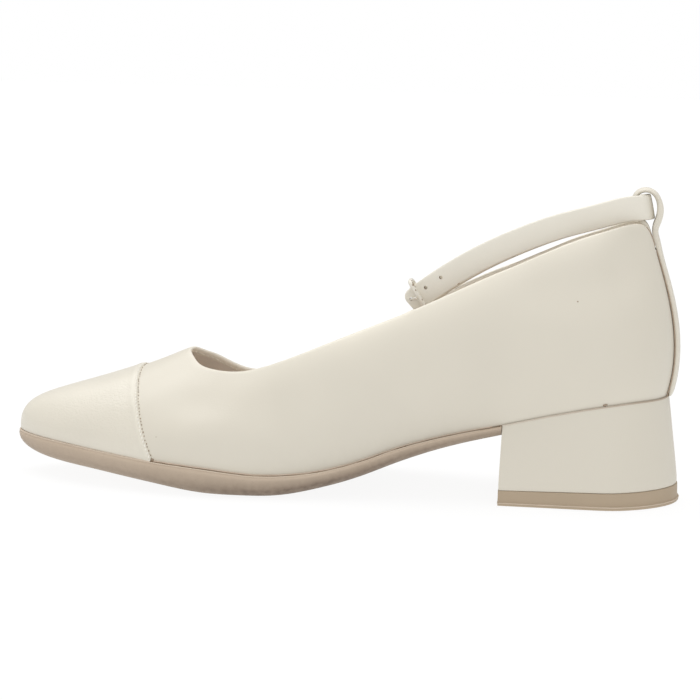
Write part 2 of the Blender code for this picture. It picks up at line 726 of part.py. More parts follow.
def tube_rings(points, closed, radius, sides, guide):
    """Round sections of a wire along its points, with one direction kept near the guide."""
    points = np.asarray(points, float)
    if closed:
        runs = unit(np.roll(points, -1, axis=0) - np.roll(points, 1, axis=0))
    else:
        runs = unit(np.gradient(points, axis=0))
    rings = []
    for centre, run in zip(points, runs):
        first = unit(np.cross(run, guide))
        second = np.cross(run, first)
        turns = np.arange(sides) * TURN / sides
        ring = [centre + (first * math.cos(a) + second * math.sin(a)) * radius for a in turns]
        rings.append(np.array(ring))
    return rings


def strap_place(reach_wanted):
    """Centre, width direction and outward direction of the strap at a length from its tip."""
    points, runs, ups, _, _, _, _ = strap_line()
    faces = np.cross(runs, ups)
    reach = np.concatenate([[0.0], np.cumsum(np.linalg.norm(np.diff(points, axis=0), axis=1))])
    found = []
    for table in (points, ups, faces):
        found.append(np.array([np.interp(reach_wanted, reach, table[:, k]) for k in range(3)]))
    return found[0], unit(found[1]), unit(found[2])


def hole_place(number):
    """Centre, width direction and outward direction of one of the strap's holes."""
    centre, up, face = strap_place(FIRST_HOLE_FROM_TIP + number * HOLE_PITCH)
    return centre + up * HOLE_RISE, up, face


def buckle_axes():
    """Fold bar's centre, bar direction, and the way from the fold bar to the outer bar."""
    _, _, _, bar, _, up, _ = strap_line()
    centre, _, face = strap_place(FRAME_FROM_TIP)
    outer = centre + face * FRAME_STAND_OFF
    way = outer - bar
    way = way - up * np.dot(way, up)
    return bar, up, way


def rounded_path(half_height, depth):
    """Corner-rounded oblong path as pairs of rise and way."""
    path = []
    for quarter in range(4):
        low = quarter in (0, 3)
        near = quarter in (0, 1)
        rise_centre = -(half_height - FRAME_CORNER) if low else half_height - FRAME_CORNER
        way_centre = FRAME_CORNER if near else depth - FRAME_CORNER
        for k in range(FRAME_CORNER_STEPS + 1):
            turn = -HALF_TURN / 2.0 * (1.0 + quarter + k / FRAME_CORNER_STEPS)
            rise = rise_centre + FRAME_CORNER * math.sin(turn)
            way = way_centre + FRAME_CORNER * math.cos(turn)
            path.append((rise, way))
    return path


def build_buckle_frame(finish):
    """Rounded frame whose fold bar and outer bar hold the two halves of the strap."""
    bar, up, way = buckle_axes()
    depth = np.linalg.norm(way)
    half_height = FRAME_CLEAR_HEIGHT / 2.0 + BAR_RADIUS
    path = rounded_path(half_height, depth)
    middle = bar + up * FRAME_RISE
    points = [middle + up * rise + way / depth * go for rise, go in path]
    guide = np.cross(up, way)
    rings = tube_rings(points, True, BAR_RADIUS, BAR_SIDES, guide)
    return ring_solid("buckle_frame", rings, True, finish)


def build_buckle_prong(finish):
    """Bent wire from the fold bar through the first hole to the outer bar."""
    bar, up, way = buckle_axes()
    along = unit(way)
    fore = np.cross(along, up)
    fore = fore * -np.sign(fore[0])
    hole, _, face = hole_place(0)
    rest = BAR_RADIUS + FIT_GAP + PRONG_RADIUS
    points = []
    for degrees in PRONG_HOOK:
        turn = math.radians(degrees)
        points.append(bar + fore * rest * math.cos(turn) + along * rest * math.sin(turn))
    points.append(hole - face * (STRAP_WALL + FIT_GAP))
    points.append(hole)
    points.append(hole + face * (STRAP_WALL / 2.0 + FIT_GAP))
    outer = bar + way
    outer = outer + up * np.dot(hole - outer, up)
    wrap = rest + FIT_GAP
    for degrees in PRONG_REST:
        turn = math.radians(degrees)
        points.append(outer + fore * wrap * math.cos(turn) + along * wrap * math.sin(turn))
    line = open_spline(points, PRONG_STEP)
    rings = tube_rings(line, False, PRONG_RADIUS, PRONG_SIDES, up)
    return ring_solid("buckle_prong", rings, False, finish)


def cutter_object(name, body):
    """A hidden tool body."""
    mesh = bpy.data.meshes.new(name)
    bmesh.ops.recalc_face_normals(body, faces=body.faces)
    body.to_mesh(mesh)
    body.free()
    tool = bpy.data.objects.new(name, mesh)
    tool.hide_render = True
    tool.display_type = "WIRE"
    bpy.context.scene.collection.objects.link(tool)
    return tool


def axes_matrix(centre, first, second, third):
    """Placement whose axes are the given directions."""
    columns = [tuple(axis) + (0.0,) for axis in (first, second, third)]
    columns.append(tuple(centre * MM) + (1.0,))
    return Matrix(columns).transposed()


def strap_cutters():
    """Tools for the strap's holes and for the prong's slot in its fold."""
    tools = []
    for number in range(HOLE_COUNT):
        centre, up, face = hole_place(number)
        body = bmesh.new()
        bmesh.ops.create_cone(
            body,
            cap_ends=True,
            segments=HOLE_SIDES,
            radius1=HOLE_RADIUS * MM,
            radius2=HOLE_RADIUS * MM,
            depth=HOLE_DEPTH * MM,
            matrix=axes_matrix(centre, up, np.cross(face, up), face),
        )
        tools.append(cutter_object(f"hole_cutter_{number}", body))
    bar, up, way = buckle_axes()
    along = unit(way)
    fore = np.cross(along, up)
    fore = fore * -np.sign(fore[0])
    centre = bar + fore * SLOT_REACH / 2.0 + up * SLOT_RISE
    sides = axes_matrix(centre, fore * SLOT_REACH, along * SLOT_DEPTH, up * SLOT_HEIGHT)
    body = bmesh.new()
    bmesh.ops.create_cube(body, size=MM, matrix=sides)
    tools.append(cutter_object("slot_cutter", body))
    return tools


def settle(parts):
    """Moves every solid so that the shoe stands over the origin."""
    points = np.array([vert.co for part in parts for vert in part.data.vertices])
    low = points.min(axis=0)
    high = points.max(axis=0)
    shift = Matrix.Translation((-(low[0] + high[0]) / 2.0, -(low[1] + high[1]) / 2.0, -low[2]))
    for part in bpy.context.scene.objects:
        part.data.transform(shift)


def main():
    """Builds every part of the shoe."""
    for old in list(bpy.data.objects):
        bpy.data.objects.remove(old)
    parts = [
        build_outsole(material("outsole_taupe", TAUPE, SOFT)),
        build_heel_block(material("heel_cream", CREAM_HEEL, SMOOTH)),
        build_top_lift(material("lift_taupe", TAUPE_LIFT, SOFT)),
        build_upper(material("upper_cream", CREAM, SMOOTH)),
        build_toe_cap(material("cap_cream", CREAM_CAP, GLOSSY)),
        build_back_strip(material("strip_cream", CREAM_STRIP, SMOOTH)),
        build_insole(material("insole_beige", BEIGE, SOFT)),
        build_buckle_frame(material("buckle_cream", CREAM_METAL, GLOSSY)),
        build_buckle_prong(material("prong_cream", CREAM_METAL, GLOSSY)),
    ]
    parts.append(build_strap(material("strap_cream", CREAM_STRAP, SMOOTH), strap_cutters()))
    settle(parts)


main()
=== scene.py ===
"""Dresses a right low heel shoe: upper, toe cap, back strip, strap, buckle, sole and heel.

Every piece stands where its solid stands. Lengths are in metres; a table in millimetres says so.
"""

import json
import logging
import math
import random
from dataclasses import dataclass, field
from enum import Enum
from typing import Callable, Iterable, Sequence

import bmesh
import bpy
import numpy as np
from mathutils import Matrix, Vector
from mathutils.bvhtree import BVHTree
from mathutils.kdtree import KDTree

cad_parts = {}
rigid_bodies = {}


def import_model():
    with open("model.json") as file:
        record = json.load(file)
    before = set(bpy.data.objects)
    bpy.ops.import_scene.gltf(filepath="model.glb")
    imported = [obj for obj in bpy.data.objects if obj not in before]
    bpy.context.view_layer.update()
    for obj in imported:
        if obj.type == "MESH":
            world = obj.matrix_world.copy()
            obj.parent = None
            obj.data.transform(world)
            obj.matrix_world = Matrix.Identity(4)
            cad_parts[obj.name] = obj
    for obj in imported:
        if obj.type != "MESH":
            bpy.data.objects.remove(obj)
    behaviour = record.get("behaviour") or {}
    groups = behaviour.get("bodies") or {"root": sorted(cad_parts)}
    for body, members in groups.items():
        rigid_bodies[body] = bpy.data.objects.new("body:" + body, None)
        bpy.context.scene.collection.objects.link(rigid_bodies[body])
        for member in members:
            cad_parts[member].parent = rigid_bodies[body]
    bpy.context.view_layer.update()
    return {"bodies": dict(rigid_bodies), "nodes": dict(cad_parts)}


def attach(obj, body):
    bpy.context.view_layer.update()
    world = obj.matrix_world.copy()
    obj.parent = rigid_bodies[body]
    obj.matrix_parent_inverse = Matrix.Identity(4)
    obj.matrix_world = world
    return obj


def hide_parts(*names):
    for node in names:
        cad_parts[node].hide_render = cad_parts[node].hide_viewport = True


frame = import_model()

LOG = logging.getLogger("shoe")
MM = 0.001
BODY = "root"
UP = Vector((0.0, 0.0, 1.0))
WHITE = (1.0, 1.0, 1.0, 1.0)
# Share of the darker mix colour on a point, for dust, stains and painted shade.
CREVICE = "crevice"
# Share of the painted highlight on a point, for the finishes to read.
PAINTED_HIGHLIGHT = "painted_highlight"
SIDES = (("inner", -1.0), ("outer", 1.0))
# Rounds of subdivision for skins and for blocks.
FINE = 2
COARSE = 1
# Spacing of points, and limits on directions and angles.
MERGE = 0.001 * MM
LINE_PITCH = 1.5 * MM
LINE_SIDES = 8
SEARCH_PITCH = 0.5 * MM
LOOKS_UP = 0.7
STEEP = 0.9
PAIR_TURN = math.radians(60.0)
PAIR_SKEW = math.radians(90.0)
SHARP_TURN = math.radians(50.0)
Colour = tuple[float, float, float]
Place = tuple[float, float, float]
Span = tuple[float, float]
Shares = Sequence[Span]
Body = bmesh.types.BMesh
Face = bmesh.types.BMFace
Vert = bmesh.types.BMVert
Socket = bpy.types.NodeSocket


class Slot(Enum):
    """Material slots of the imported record."""

    OUTSOLE = "outsole_taupe"
    HEEL = "heel_cream"
    LIFT = "lift_taupe"
    UPPER = "upper_cream"
    CAP = "cap_cream"
    STRIP = "strip_cream"
    INSOLE = "insole_beige"
    STRAP = "strap_cream"
    BUCKLE = "buckle_cream"
    PRONG = "prong_cream"


class Skin(Enum):
    """Sides of the upper's wall, as numbers of its finishes."""

    LEATHER = 0
    LINING = 1
    FOLD = 2


class NodeSheet:
    """Places and joins the nodes of one tree."""

    def __init__(self, tree: bpy.types.NodeTree) -> None:
        """Keeps the tree to work on."""
        self.tree = tree

    def fill(self, node: bpy.types.Node, inputs: dict) -> None:
        """Sets the inputs of a node.

        Args:
            node: The node.
            inputs: Value or source socket of each named or numbered input.
        """
        for key, value in inputs.items():
            if isinstance(value, Socket):
                self.tree.links.new(value, node.inputs[key])
            else:
                node.inputs[key].default_value = value

    def add(self, kind: str, inputs: dict | None = None, **settings: object) -> bpy.types.Node:
        """Adds one node.

        Args:
            kind: Type of the node.
            inputs: Value or source socket of each named or numbered input.
            settings: Properties of the node.

        Returns:
            The new node.
        """
        node = self.tree.nodes.new(kind)
        for key, value in settings.items():
            setattr(node, key, value)
        self.fill(node, inputs or {})
        return node

    def effect(self, tree: bpy.types.NodeTree, **inputs: object) -> bpy.types.Node:
        """Adds a shared effect with its inputs."""
        return self.add("ShaderNodeGroup", inputs, node_tree=tree)

    def math(self, operation: str, first: object, second: object) -> Socket:
        """Adds a sum of two values or sockets and gives its result."""
        return self.add("ShaderNodeMath", {0: first, 1: second}, operation=operation).outputs[0]

    def noise(self, place: Socket, rate: object, detail: float = 2.0) -> Socket:
        """Adds a noise and gives its value."""
        inputs = {"Vector": place, "Scale": rate, "Detail": detail}
        return self.add("ShaderNodeTexNoise", inputs).outputs[0]

    def ramp(self, value: Socket, source: Span, result: Span) -> Socket:
        """Maps a value from one range to another, holds it there and gives the result."""
        inputs = dict(enumerate((value, *source, *result)))
        return self.add("ShaderNodeMapRange", inputs, clamp=True).outputs[0]

    def mix(self, share: object, first: object, second: object) -> Socket:
        """Mixes two colours.

        Args:
            share: Share of the second colour.
            first: Colour or socket.
            second: Colour or socket.

        Returns:
            The mixed colour's socket.
        """
        # Inputs 6 and 7 of a colour mix are its colours, and output 2 is the result.
        one, other = (
            value if isinstance(value, Socket) else (*value, 1.0) for value in (first, second)
        )
        return self.add("ShaderNodeMix", {0: share, 6: one, 7: other}, data_type="RGBA").outputs[2]


Fill = Callable[[NodeSheet, Socket, Socket], dict[str, Socket]]
FULL_RANGE = (0.0, 1.0)
NOISE_RANGE = (0.3, 0.7)


class Effects:
    """Shader groups that several finishes share, each made once."""

    made: dict[str, bpy.types.NodeTree] = {}
    pebble_softness: float = 0.6
    pebble_edge: float = 0.8
    pore_rate: float = 2.6
    pore_detail: float = 3.0
    pore_share: float = 0.5
    tone_rate: float = 0.3
    tone_detail: float = 4.0
    dust_and_shade_rate: float = 420.0
    dust_and_shade_spread: Span = (0.8, 1.0)
    speck_edge: Span = (0.1, 0.32)
    speck_choice: Span = (0.4, 0.6)

    @classmethod
    def group(cls, name: str, number: str, fill: Fill) -> bpy.types.NodeTree:
        """Finds or makes a group that takes a place and one number.

        Args:
            name: Name of the group.
            number: Name of its number.
            fill: Places its nodes and names the values that it gives.

        Returns:
            The group's tree.
        """
        if name not in cls.made:
            tree = bpy.data.node_groups.new(name, "ShaderNodeTree")
            for label, kind in (("Vector", "NodeSocketVector"), (number, "NodeSocketFloat")):
                tree.interface.new_socket(label, in_out="INPUT", socket_type=kind)
            sheet = NodeSheet(tree)
            entry = sheet.add("NodeGroupInput")
            found = fill(sheet, entry.outputs["Vector"], entry.outputs[number])
            for label in found:
                tree.interface.new_socket(label, in_out="OUTPUT", socket_type="NodeSocketFloat")
            sheet.add("NodeGroupOutput", found)
            cls.made[name] = tree
        return cls.made[name]

    @classmethod
    def grain(cls) -> bpy.types.NodeTree:
        """Pebbled grain of embossed leather: its height, and a tone from pebble to pebble.

        Returns:
            The group's tree.
        """

        def fill(sheet: NodeSheet, place: Socket, cell: Socket) -> dict[str, Socket]:
            """Places cells with a finer noise on them.

            Args:
                sheet: Sheet of the group.
                place: Place on the piece.
                cell: Size of a pebble.

            Returns:
                The height and the tone.
            """
            rate = sheet.math("DIVIDE", 1.0, cell)
            inputs = {"Vector": place, "Scale": rate, "Smoothness": cls.pebble_softness}
            cells = sheet.add("ShaderNodeTexVoronoi", inputs, feature="SMOOTH_F1")
            hump = sheet.ramp(cells.outputs["Distance"], (0.0, cls.pebble_edge), (1.0, 0.0))
            fine = sheet.math("MULTIPLY", rate, cls.pore_rate)
            pores = sheet.noise(place, fine, cls.pore_detail)
            wide = sheet.math("MULTIPLY", rate, cls.tone_rate)
            tone = sheet.noise(place, wide, cls.tone_detail)
            return {
                "Height": sheet.math("ADD", hump, sheet.math("MULTIPLY", pores, cls.pore_share)),
                "Tone": sheet.ramp(tone, NOISE_RANGE, FULL_RANGE),
            }

        return cls.group("leather_grain", "Cell", fill)

    @classmethod
    def mottle(cls) -> bpy.types.NodeTree:
        """Broad soft patches of tone.

        Returns:
            The group's tree.
        """

        def fill(sheet: NodeSheet, place: Socket, patch: Socket) -> dict[str, Socket]:
            """Places one slow noise."""
            patches = sheet.noise(place, sheet.math("DIVIDE", 1.0, patch))
            return {"Tone": sheet.ramp(patches, NOISE_RANGE, FULL_RANGE)}

        return cls.group("soft_mottle", "Patch", fill)

    @classmethod
    def dust_and_shade(cls) -> bpy.types.NodeTree:
        """Uneven dirt, glue and painted shade where a surface runs into a seam or turns under.

        Returns:
            The group's tree.
        """

        def fill(sheet: NodeSheet, place: Socket, amount: Socket) -> dict[str, Socket]:
            """Breaks the given amount up with noise."""
            uneven = sheet.ramp(sheet.noise(place, cls.dust_and_shade_rate), NOISE_RANGE, cls.dust_and_shade_spread)
            return {"Mask": sheet.math("MULTIPLY", amount, uneven)}

        return cls.group("seam_dust_and_shade", "Amount", fill)

    @classmethod
    def speckle(cls) -> bpy.types.NodeTree:
        """Small scattered specks.

        Returns:
            The group's tree.
        """

        def fill(sheet: NodeSheet, place: Socket, spacing: Socket) -> dict[str, Socket]:
            """Keeps the middles of some cells.

            Args:
                sheet: Sheet of the group.
                place: Place on the piece.
                spacing: Distance between specks.

            Returns:
                The mask of the specks.
            """
            rate = sheet.math("DIVIDE", 1.0, spacing)
            cells = sheet.add("ShaderNodeTexVoronoi", {"Vector": place, "Scale": rate})
            middle = sheet.ramp(cells.outputs["Distance"], cls.speck_edge, (1.0, 0.0))
            chosen = sheet.ramp(cells.outputs["Color"], cls.speck_choice, FULL_RANGE)
            return {"Mask": sheet.math("MULTIPLY", middle, chosen)}

        return cls.group("fine_speckle", "Spacing", fill)


@dataclass(frozen=True)
class Finish:
    """What every finish has: its name, colours, gloss and the size of its grain."""

    name: str
    colour: Colour
    shade: Colour
    roughness: float
    cell: float
    depth: float
    patch: float = 0.03
    coat: float = 0.0
    coat_roughness: float = 0.35
    spread: float = 0.06
    # Colour of dust, stains and painted shade, mixed in by the crevice share.
    dust_and_shade: Colour = (0.30, 0.22, 0.15)
    # Colour of a painted highlight, mixed in by its share.
    painted_highlight: Colour | None = None
    speck: Colour = (0.0, 0.0, 0.0)
    speck_spacing: float = 0.0
    speck_share: float = 0.0
    sheen: float = 0.0

    def material(self) -> bpy.types.Material:
        """Makes the material once.

        Returns:
            The material of this finish.
        """
        found = bpy.data.materials.get(self.name)
        if found:
            return found
        made = bpy.data.materials.new(self.name)
        made.use_nodes = True
        sheet = NodeSheet(made.node_tree)
        place = sheet.add("ShaderNodeTexCoord").outputs["Object"]
        edge = sheet.add("ShaderNodeAttribute", attribute_name=CREVICE).outputs["Fac"]
        grain = sheet.effect(Effects.grain(), Vector=place, Cell=self.cell)
        mottle = sheet.effect(Effects.mottle(), Vector=place, Patch=self.patch)
        # Dust and painted shade, broken up by noise.
        dust_and_shade = sheet.effect(Effects.dust_and_shade(), Vector=place, Amount=edge)
        colour = sheet.mix(mottle.outputs["Tone"], self.colour, self.shade)
        if self.speck_share:
            speckle = sheet.effect(Effects.speckle(), Vector=place, Spacing=self.speck_spacing)
            share = sheet.math("MULTIPLY", speckle.outputs["Mask"], self.speck_share)
            colour = sheet.mix(share, colour, self.speck)
        # Painted highlight: pales the colour by the share on the points.
        if self.painted_highlight:
            worn = sheet.add("ShaderNodeAttribute", attribute_name=PAINTED_HIGHLIGHT)
            colour = sheet.mix(worn.outputs["Fac"], colour, self.painted_highlight)
        gloss = (self.roughness - self.spread, self.roughness + self.spread)
        bump = {"Strength": 1.0, "Distance": self.depth, "Height": grain.outputs["Height"]}
        looks = {
            "Base Color": sheet.mix(dust_and_shade.outputs["Mask"], colour, self.dust_and_shade),
            "Roughness": sheet.ramp(grain.outputs["Tone"], FULL_RANGE, gloss),
            "Normal": sheet.add("ShaderNodeBump", bump).outputs[0],
            "Coat Weight": self.coat,
            "Coat Roughness": self.coat_roughness,
            "Sheen Weight": self.sheen,
        }
        sheet.fill(made.node_tree.nodes["Principled BSDF"], looks)
        return made


CREAM = (0.715, 0.671, 0.574)
CREAM_SHADE = (0.695, 0.652, 0.558)
# The upper's leather, with a darker colour for dust and painted shade over the sole and a paler
# one for the painted highlight along the topline.
UPPER_LEATHER = Finish(
    "upper_leather", CREAM, CREAM_SHADE, 0.46, 0.45 * MM, 0.012 * MM, coat=0.06,
    dust_and_shade=(0.30, 0.265, 0.215), painted_highlight=(0.85, 0.80, 0.69),
)
# Folded leather inside the topline, paler than the outer cream: painted light inside the shoe.
FOLDED_LEATHER = Finish(
    "folded_leather", (0.93, 0.885, 0.79), (0.90, 0.85, 0.755), 0.5, 0.45 * MM, 0.012 * MM,
)
CAP_LEATHER = Finish(
    "cap_leather", (0.755, 0.711, 0.612), (0.720, 0.678, 0.583), 0.38, 0.8 * MM, 0.07 * MM,
    coat=0.12,
)
HEEL_LEATHER = Finish(
    "heel_leather", (0.695, 0.652, 0.557), CREAM_SHADE, 0.5, 0.45 * MM, 0.012 * MM,
)
STRIP_LEATHER = Finish(
    "strip_leather", (0.76, 0.715, 0.618), (0.735, 0.691, 0.597), 0.5, 0.5 * MM, 0.015 * MM,
)
STRAP_LEATHER = Finish(
    "strap_leather", (0.835, 0.797, 0.702), (0.815, 0.777, 0.685), 0.46, 0.5 * MM, 0.014 * MM,
    coat=0.05,
)
LINING = Finish(
    "lining", (0.87, 0.80, 0.73), (0.83, 0.76, 0.69), 0.75, 0.6 * MM, 0.03 * MM, sheen=0.2,
)
SOCK = Finish("insole_sock", (0.74, 0.64, 0.53), (0.70, 0.60, 0.49), 0.6, 0.8 * MM, 0.03 * MM)
# The sole's rubber; its darker mix colour gives the painted shade on its lower side.
RUBBER = Finish(
    "sole_rubber", (0.555, 0.447, 0.342), (0.520, 0.415, 0.312), 0.55, 0.9 * MM, 0.02 * MM,
    dust_and_shade=(0.15, 0.105, 0.072),
    speck=(0.40, 0.32, 0.24), speck_spacing=1.3 * MM, speck_share=0.25,
)
LIFT_RUBBER = Finish(
    "lift_rubber", (0.445, 0.350, 0.246), (0.415, 0.325, 0.226), 0.58, 0.8 * MM, 0.02 * MM,
)
# Pale line along the lips of the lift and the sole: painted highlight.
LIP_HIGHLIGHT = Finish("painted_lip_highlight", (0.60, 0.50, 0.39), (0.56, 0.46, 0.36), 0.5, 0.8 * MM, 0.02 * MM)
RAW_EDGE = Finish(
    "raw_edge", (0.45, 0.345, 0.255), (0.37, 0.275, 0.20), 0.8, 0.4 * MM, 0.04 * MM, patch=0.002,
)
COVER_EDGE = Finish(
    "cover_edge", (0.68, 0.61, 0.52), (0.63, 0.56, 0.47), 0.8, 0.4 * MM, 0.03 * MM, patch=0.004,
    dust_and_shade=(0.36, 0.27, 0.19),
)
SOLE_SEAM = Finish(
    "sole_seam", (0.66, 0.55, 0.45), (0.59, 0.48, 0.38), 0.8, 0.4 * MM, 0.03 * MM, patch=0.006,
)
THREAD = Finish(
    "cream_thread", (0.88, 0.855, 0.78), (0.85, 0.82, 0.74), 0.6, 0.18 * MM, 0.03 * MM,
)
LINING_THREAD = Finish(
    "beige_thread", (0.90, 0.85, 0.78), (0.86, 0.81, 0.73), 0.6, 0.18 * MM, 0.03 * MM,
)
PIT = Finish("needle_pit", (0.36, 0.275, 0.20), (0.28, 0.21, 0.15), 0.85, 0.3 * MM, 0.01 * MM)
STAIN = Finish("faint_stain", (0.50, 0.42, 0.33), (0.46, 0.38, 0.30), 0.8, 0.3 * MM, 0.01 * MM)
ENAMEL = Finish(
    "buckle_enamel", (0.84, 0.805, 0.72), (0.80, 0.76, 0.67), 0.32, 0.6 * MM, 0.02 * MM, coat=0.4,
    speck=(0.42, 0.32, 0.22), speck_spacing=0.9 * MM, speck_share=0.3,
)
BARE_METAL = Finish("worn_metal", (0.40, 0.30, 0.20), (0.30, 0.22, 0.15), 0.6, 0.3 * MM, 0.02 * MM)


def held(value: float) -> float:
    """The value, kept between 0 and 1."""
    return min(max(value, 0.0), 1.0)


def eased(share: float) -> float:
    """Share of a soft step."""
    return share * share * (3.0 - 2.0 * share)


def fade(distance: float, reach: float) -> float:
    """Bell-shaped share that falls off over a reach."""
    return math.exp(-((distance / reach) ** 2))


def share_at(along: float, table: Shares) -> float:
    """Share at a place along the shoe, from a table of places in millimetres and their shares."""
    return float(np.interp(along / MM, *zip(*table)))


def outward(point: Vector, middle: float) -> Vector:
    """Level direction to a point from a place on the middle line."""
    return Vector((point.x - middle, point.y, 0.0)).normalized()


def mesh_of(body: Body, name: str) -> bpy.types.Mesh:
    """Turns a body into a mesh.

    Args:
        body: The body, which is freed.
        name: Name of the mesh.

    Returns:
        The mesh.
    """
    mesh = bpy.data.meshes.new(name)
    body.to_mesh(mesh)
    body.free()
    return mesh


def linked(name: str, data: bpy.types.ID) -> bpy.types.Object:
    """Puts an object into the scene.

    Args:
        name: Its name.
        data: Its mesh, light or camera.

    Returns:
        The object.
    """
    made = bpy.data.objects.new(name, data)
    bpy.context.scene.collection.objects.link(made)
    return made


def shade_smooth(faces: Iterable[Face]) -> None:
    """Shades faces smooth."""
    for face in faces:
        face.smooth = True


def cad_copy(node: str) -> Body:
    """Copies a solid's mesh with its points merged and its triangles paired.

    Args:
        node: Name of the solid.

    Returns:
        The copy.
    """
    body = bmesh.new()
    body.from_mesh(frame["nodes"][node].data)
    bmesh.ops.remove_doubles(body, verts=body.verts, dist=MERGE)
    bmesh.ops.join_triangles(
        body, faces=body.faces, angle_face_threshold=PAIR_TURN, angle_shape_threshold=PAIR_SKEW,
        topology_influence=1.5,
    )
    shade_smooth(body.faces)
    for face in body.faces:
        face.material_index = 0
    body.verts.index_update()
    body.edges.index_update()
    return body


def evaluated(body: Body, dress: Callable[[bpy.types.Object], None]) -> Body:
    """Runs modifiers over a body.

    Args:
        body: Body to work on, which is freed.
        dress: Adds the modifiers to a holder object.

    Returns:
        The body that the modifiers give.
    """
    mesh = mesh_of(body, "holder")
    holder = linked("holder", mesh)
    dress(holder)
    result = bmesh.new()
    result.from_object(holder, bpy.context.evaluated_depsgraph_get())
    bpy.data.objects.remove(holder)
    bpy.data.meshes.remove(mesh)
    result.normal_update()
    return result


def smoothed(body: Body, levels: int) -> Body:
    """Subdivides a body into a smooth one.

    Args:
        body: Body to work on, which is freed.
        levels: Number of rounds.

    Returns:
        The finer body.
    """

    def dress(holder: bpy.types.Object) -> None:
        """Adds the subdivision."""
        smooth = holder.modifiers.new("smooth", "SUBSURF")
        smooth.levels = smooth.render_levels = levels

    return evaluated(body, dress)


def soften(body: Body, angle: float, width: float) -> None:
    """Rounds every edge that is sharper than an angle.

    Args:
        body: Body to work on.
        angle: Least turn of a sharp edge, in degrees.
        width: Width of the rounding.
    """
    limit = math.radians(angle)
    sharp = [edge for edge in body.edges if edge.calc_face_angle(0.0) > limit]
    bmesh.ops.bevel(
        body, geom=sharp, offset=width, offset_type="OFFSET", segments=2, profile=0.5,
        affect="EDGES", clamp_overlap=True, material=-1,
    )
    shade_smooth(body.faces)


def write_layer(body: Body, layer: str, amount: Callable[[Vert], float]) -> None:
    """Writes a number on every point of a body, for its finish to read.

    Args:
        body: Body to work on.
        layer: Name of the number.
        amount: Gives the number of a point.
    """
    values = body.verts.layers.float.new(layer)
    for vert in body.verts:
        vert[values] = amount(vert)


def shift(body: Body, move: Callable[[Vert], Vector]) -> None:
    """Moves the points of a body, all found before the first one moves.

    Args:
        body: Body to work on.
        move: Gives the move of a point.
    """
    moves = [(vert, move(vert)) for vert in body.verts]
    for vert, step in moves:
        vert.co += step
    body.normal_update()


def place(
    body: Body, name: str, finishes: Sequence[Finish], node: str = "", slot: Slot | None = None
) -> None:
    """Puts a finished body into the scene.

    Args:
        body: The body, which is freed.
        name: Name of the piece.
        finishes: Its finishes, by the numbers on its faces.
        node: Solid that it stands for.
        slot: Slot of the record, which is not used.
    """
    mesh = mesh_of(body, name)
    for layer in ("custom_normal", "sharp_face", "sharp_edge", "crease_edge"):
        if layer in mesh.attributes:
            mesh.attributes.remove(mesh.attributes[layer])
    mesh.set_sharp_from_angle(angle=SHARP_TURN)
    for finish in finishes:
        mesh.materials.append(finish.material())
    piece = linked(name, mesh)
    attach(piece, BODY)
    if node:
        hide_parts(node)
    LOG.info("%s: %d faces", name, len(mesh.polygons))


def axes(centre: Vector, first: Vector, second: Vector, third: Vector) -> Matrix:
    """Makes the placement whose axes are the given vectors.

    Args:
        centre: Its origin.
        first: Its first axis, with its length.
        second: Its second axis, with its length.
        third: Its third axis, with its length.

    Returns:
        The placement.
    """
    rows = [(*axis, 0.0) for axis in (first, second, third)]
    return Matrix([*rows, (*centre, 1.0)]).transposed()


def top_faces(body: Body) -> list[Face]:
    """Faces of a body that look up."""
    return [face for face in body.faces if face.normal.z > LOOKS_UP]


def border_loops(faces: Iterable[Face]) -> list[list[Vector]]:
    """Finds the closed borders of a patch of faces.

    Args:
        faces: The patch.

    Returns:
        Points of each border in order.
    """
    patch = set(faces)
    links: dict[Vert, list[Vert]] = {}
    edges = {edge for face in patch for edge in face.edges}
    for edge in sorted(edges, key=lambda edge: edge.index):
        if sum(face in patch for face in edge.link_faces) == 1:
            one, other = edge.verts
            links.setdefault(one, []).append(other)
            links.setdefault(other, []).append(one)
    loops = []
    seen: set[Vert] = set()
    for start in sorted(links, key=lambda vert: vert.index):
        if start in seen:
            continue
        loop = []
        here: Vert | None = start
        while here is not None:
            seen.add(here)
            loop.append(here.co.copy())
            here = next((vert for vert in links[here] if vert not in seen), None)
        loops.append(loop)
    return loops


def longest_border(faces: Iterable[Face]) -> list[Vector]:
    """Finds the longest closed border of a patch of faces.

    Args:
        faces: The patch.

    Returns:
        Its points in order.
    """

    def length(points: Sequence[Vector]) -> float:
        """Length of a closed run of points."""
        return sum((points[k] - points[k - 1]).length for k in range(len(points)))

    return max(border_loops(faces), key=length)


def edge_points(faces: Iterable[Face], surface: BVHTree, gap: Span) -> list[Vector]:
    """Finds the points of a strip of faces that lie at some distance from a surface.

    Args:
        faces: The strip.
        surface: Surface below it.
        gap: Least and greatest distance.

    Returns:
        The points.
    """
    low, high = gap
    verts = sorted({vert for face in faces for vert in face.verts}, key=lambda vert: vert.index)
    return [vert.co.copy() for vert in verts if low < surface.find_nearest(vert.co)[3] < high]


def reaches(points: Sequence[Vector] | np.ndarray) -> np.ndarray:
    """Distance from the start of a run at each of its points."""
    gaps = np.linalg.norm(np.diff(np.array(points), axis=0), axis=1)
    return np.concatenate([[0.0], np.cumsum(gaps)])


def even_points(points: Sequence[Vector], pitch: float, closed: bool) -> list[Vector]:
    """Spreads points evenly along a run.

    Args:
        points: Points of the run.
        pitch: Wanted distance between new points.
        closed: Whether the run comes back to its start.

    Returns:
        The new points.
    """
    table = np.array([*points, points[0]] if closed else points)
    reach = reaches(table)
    count = max(2, round(reach[-1] / pitch))
    marks = np.linspace(0.0, reach[-1], count, endpoint=not closed)
    return [Vector([np.interp(mark, reach, table[:, k]) for k in range(3)]) for mark in marks]


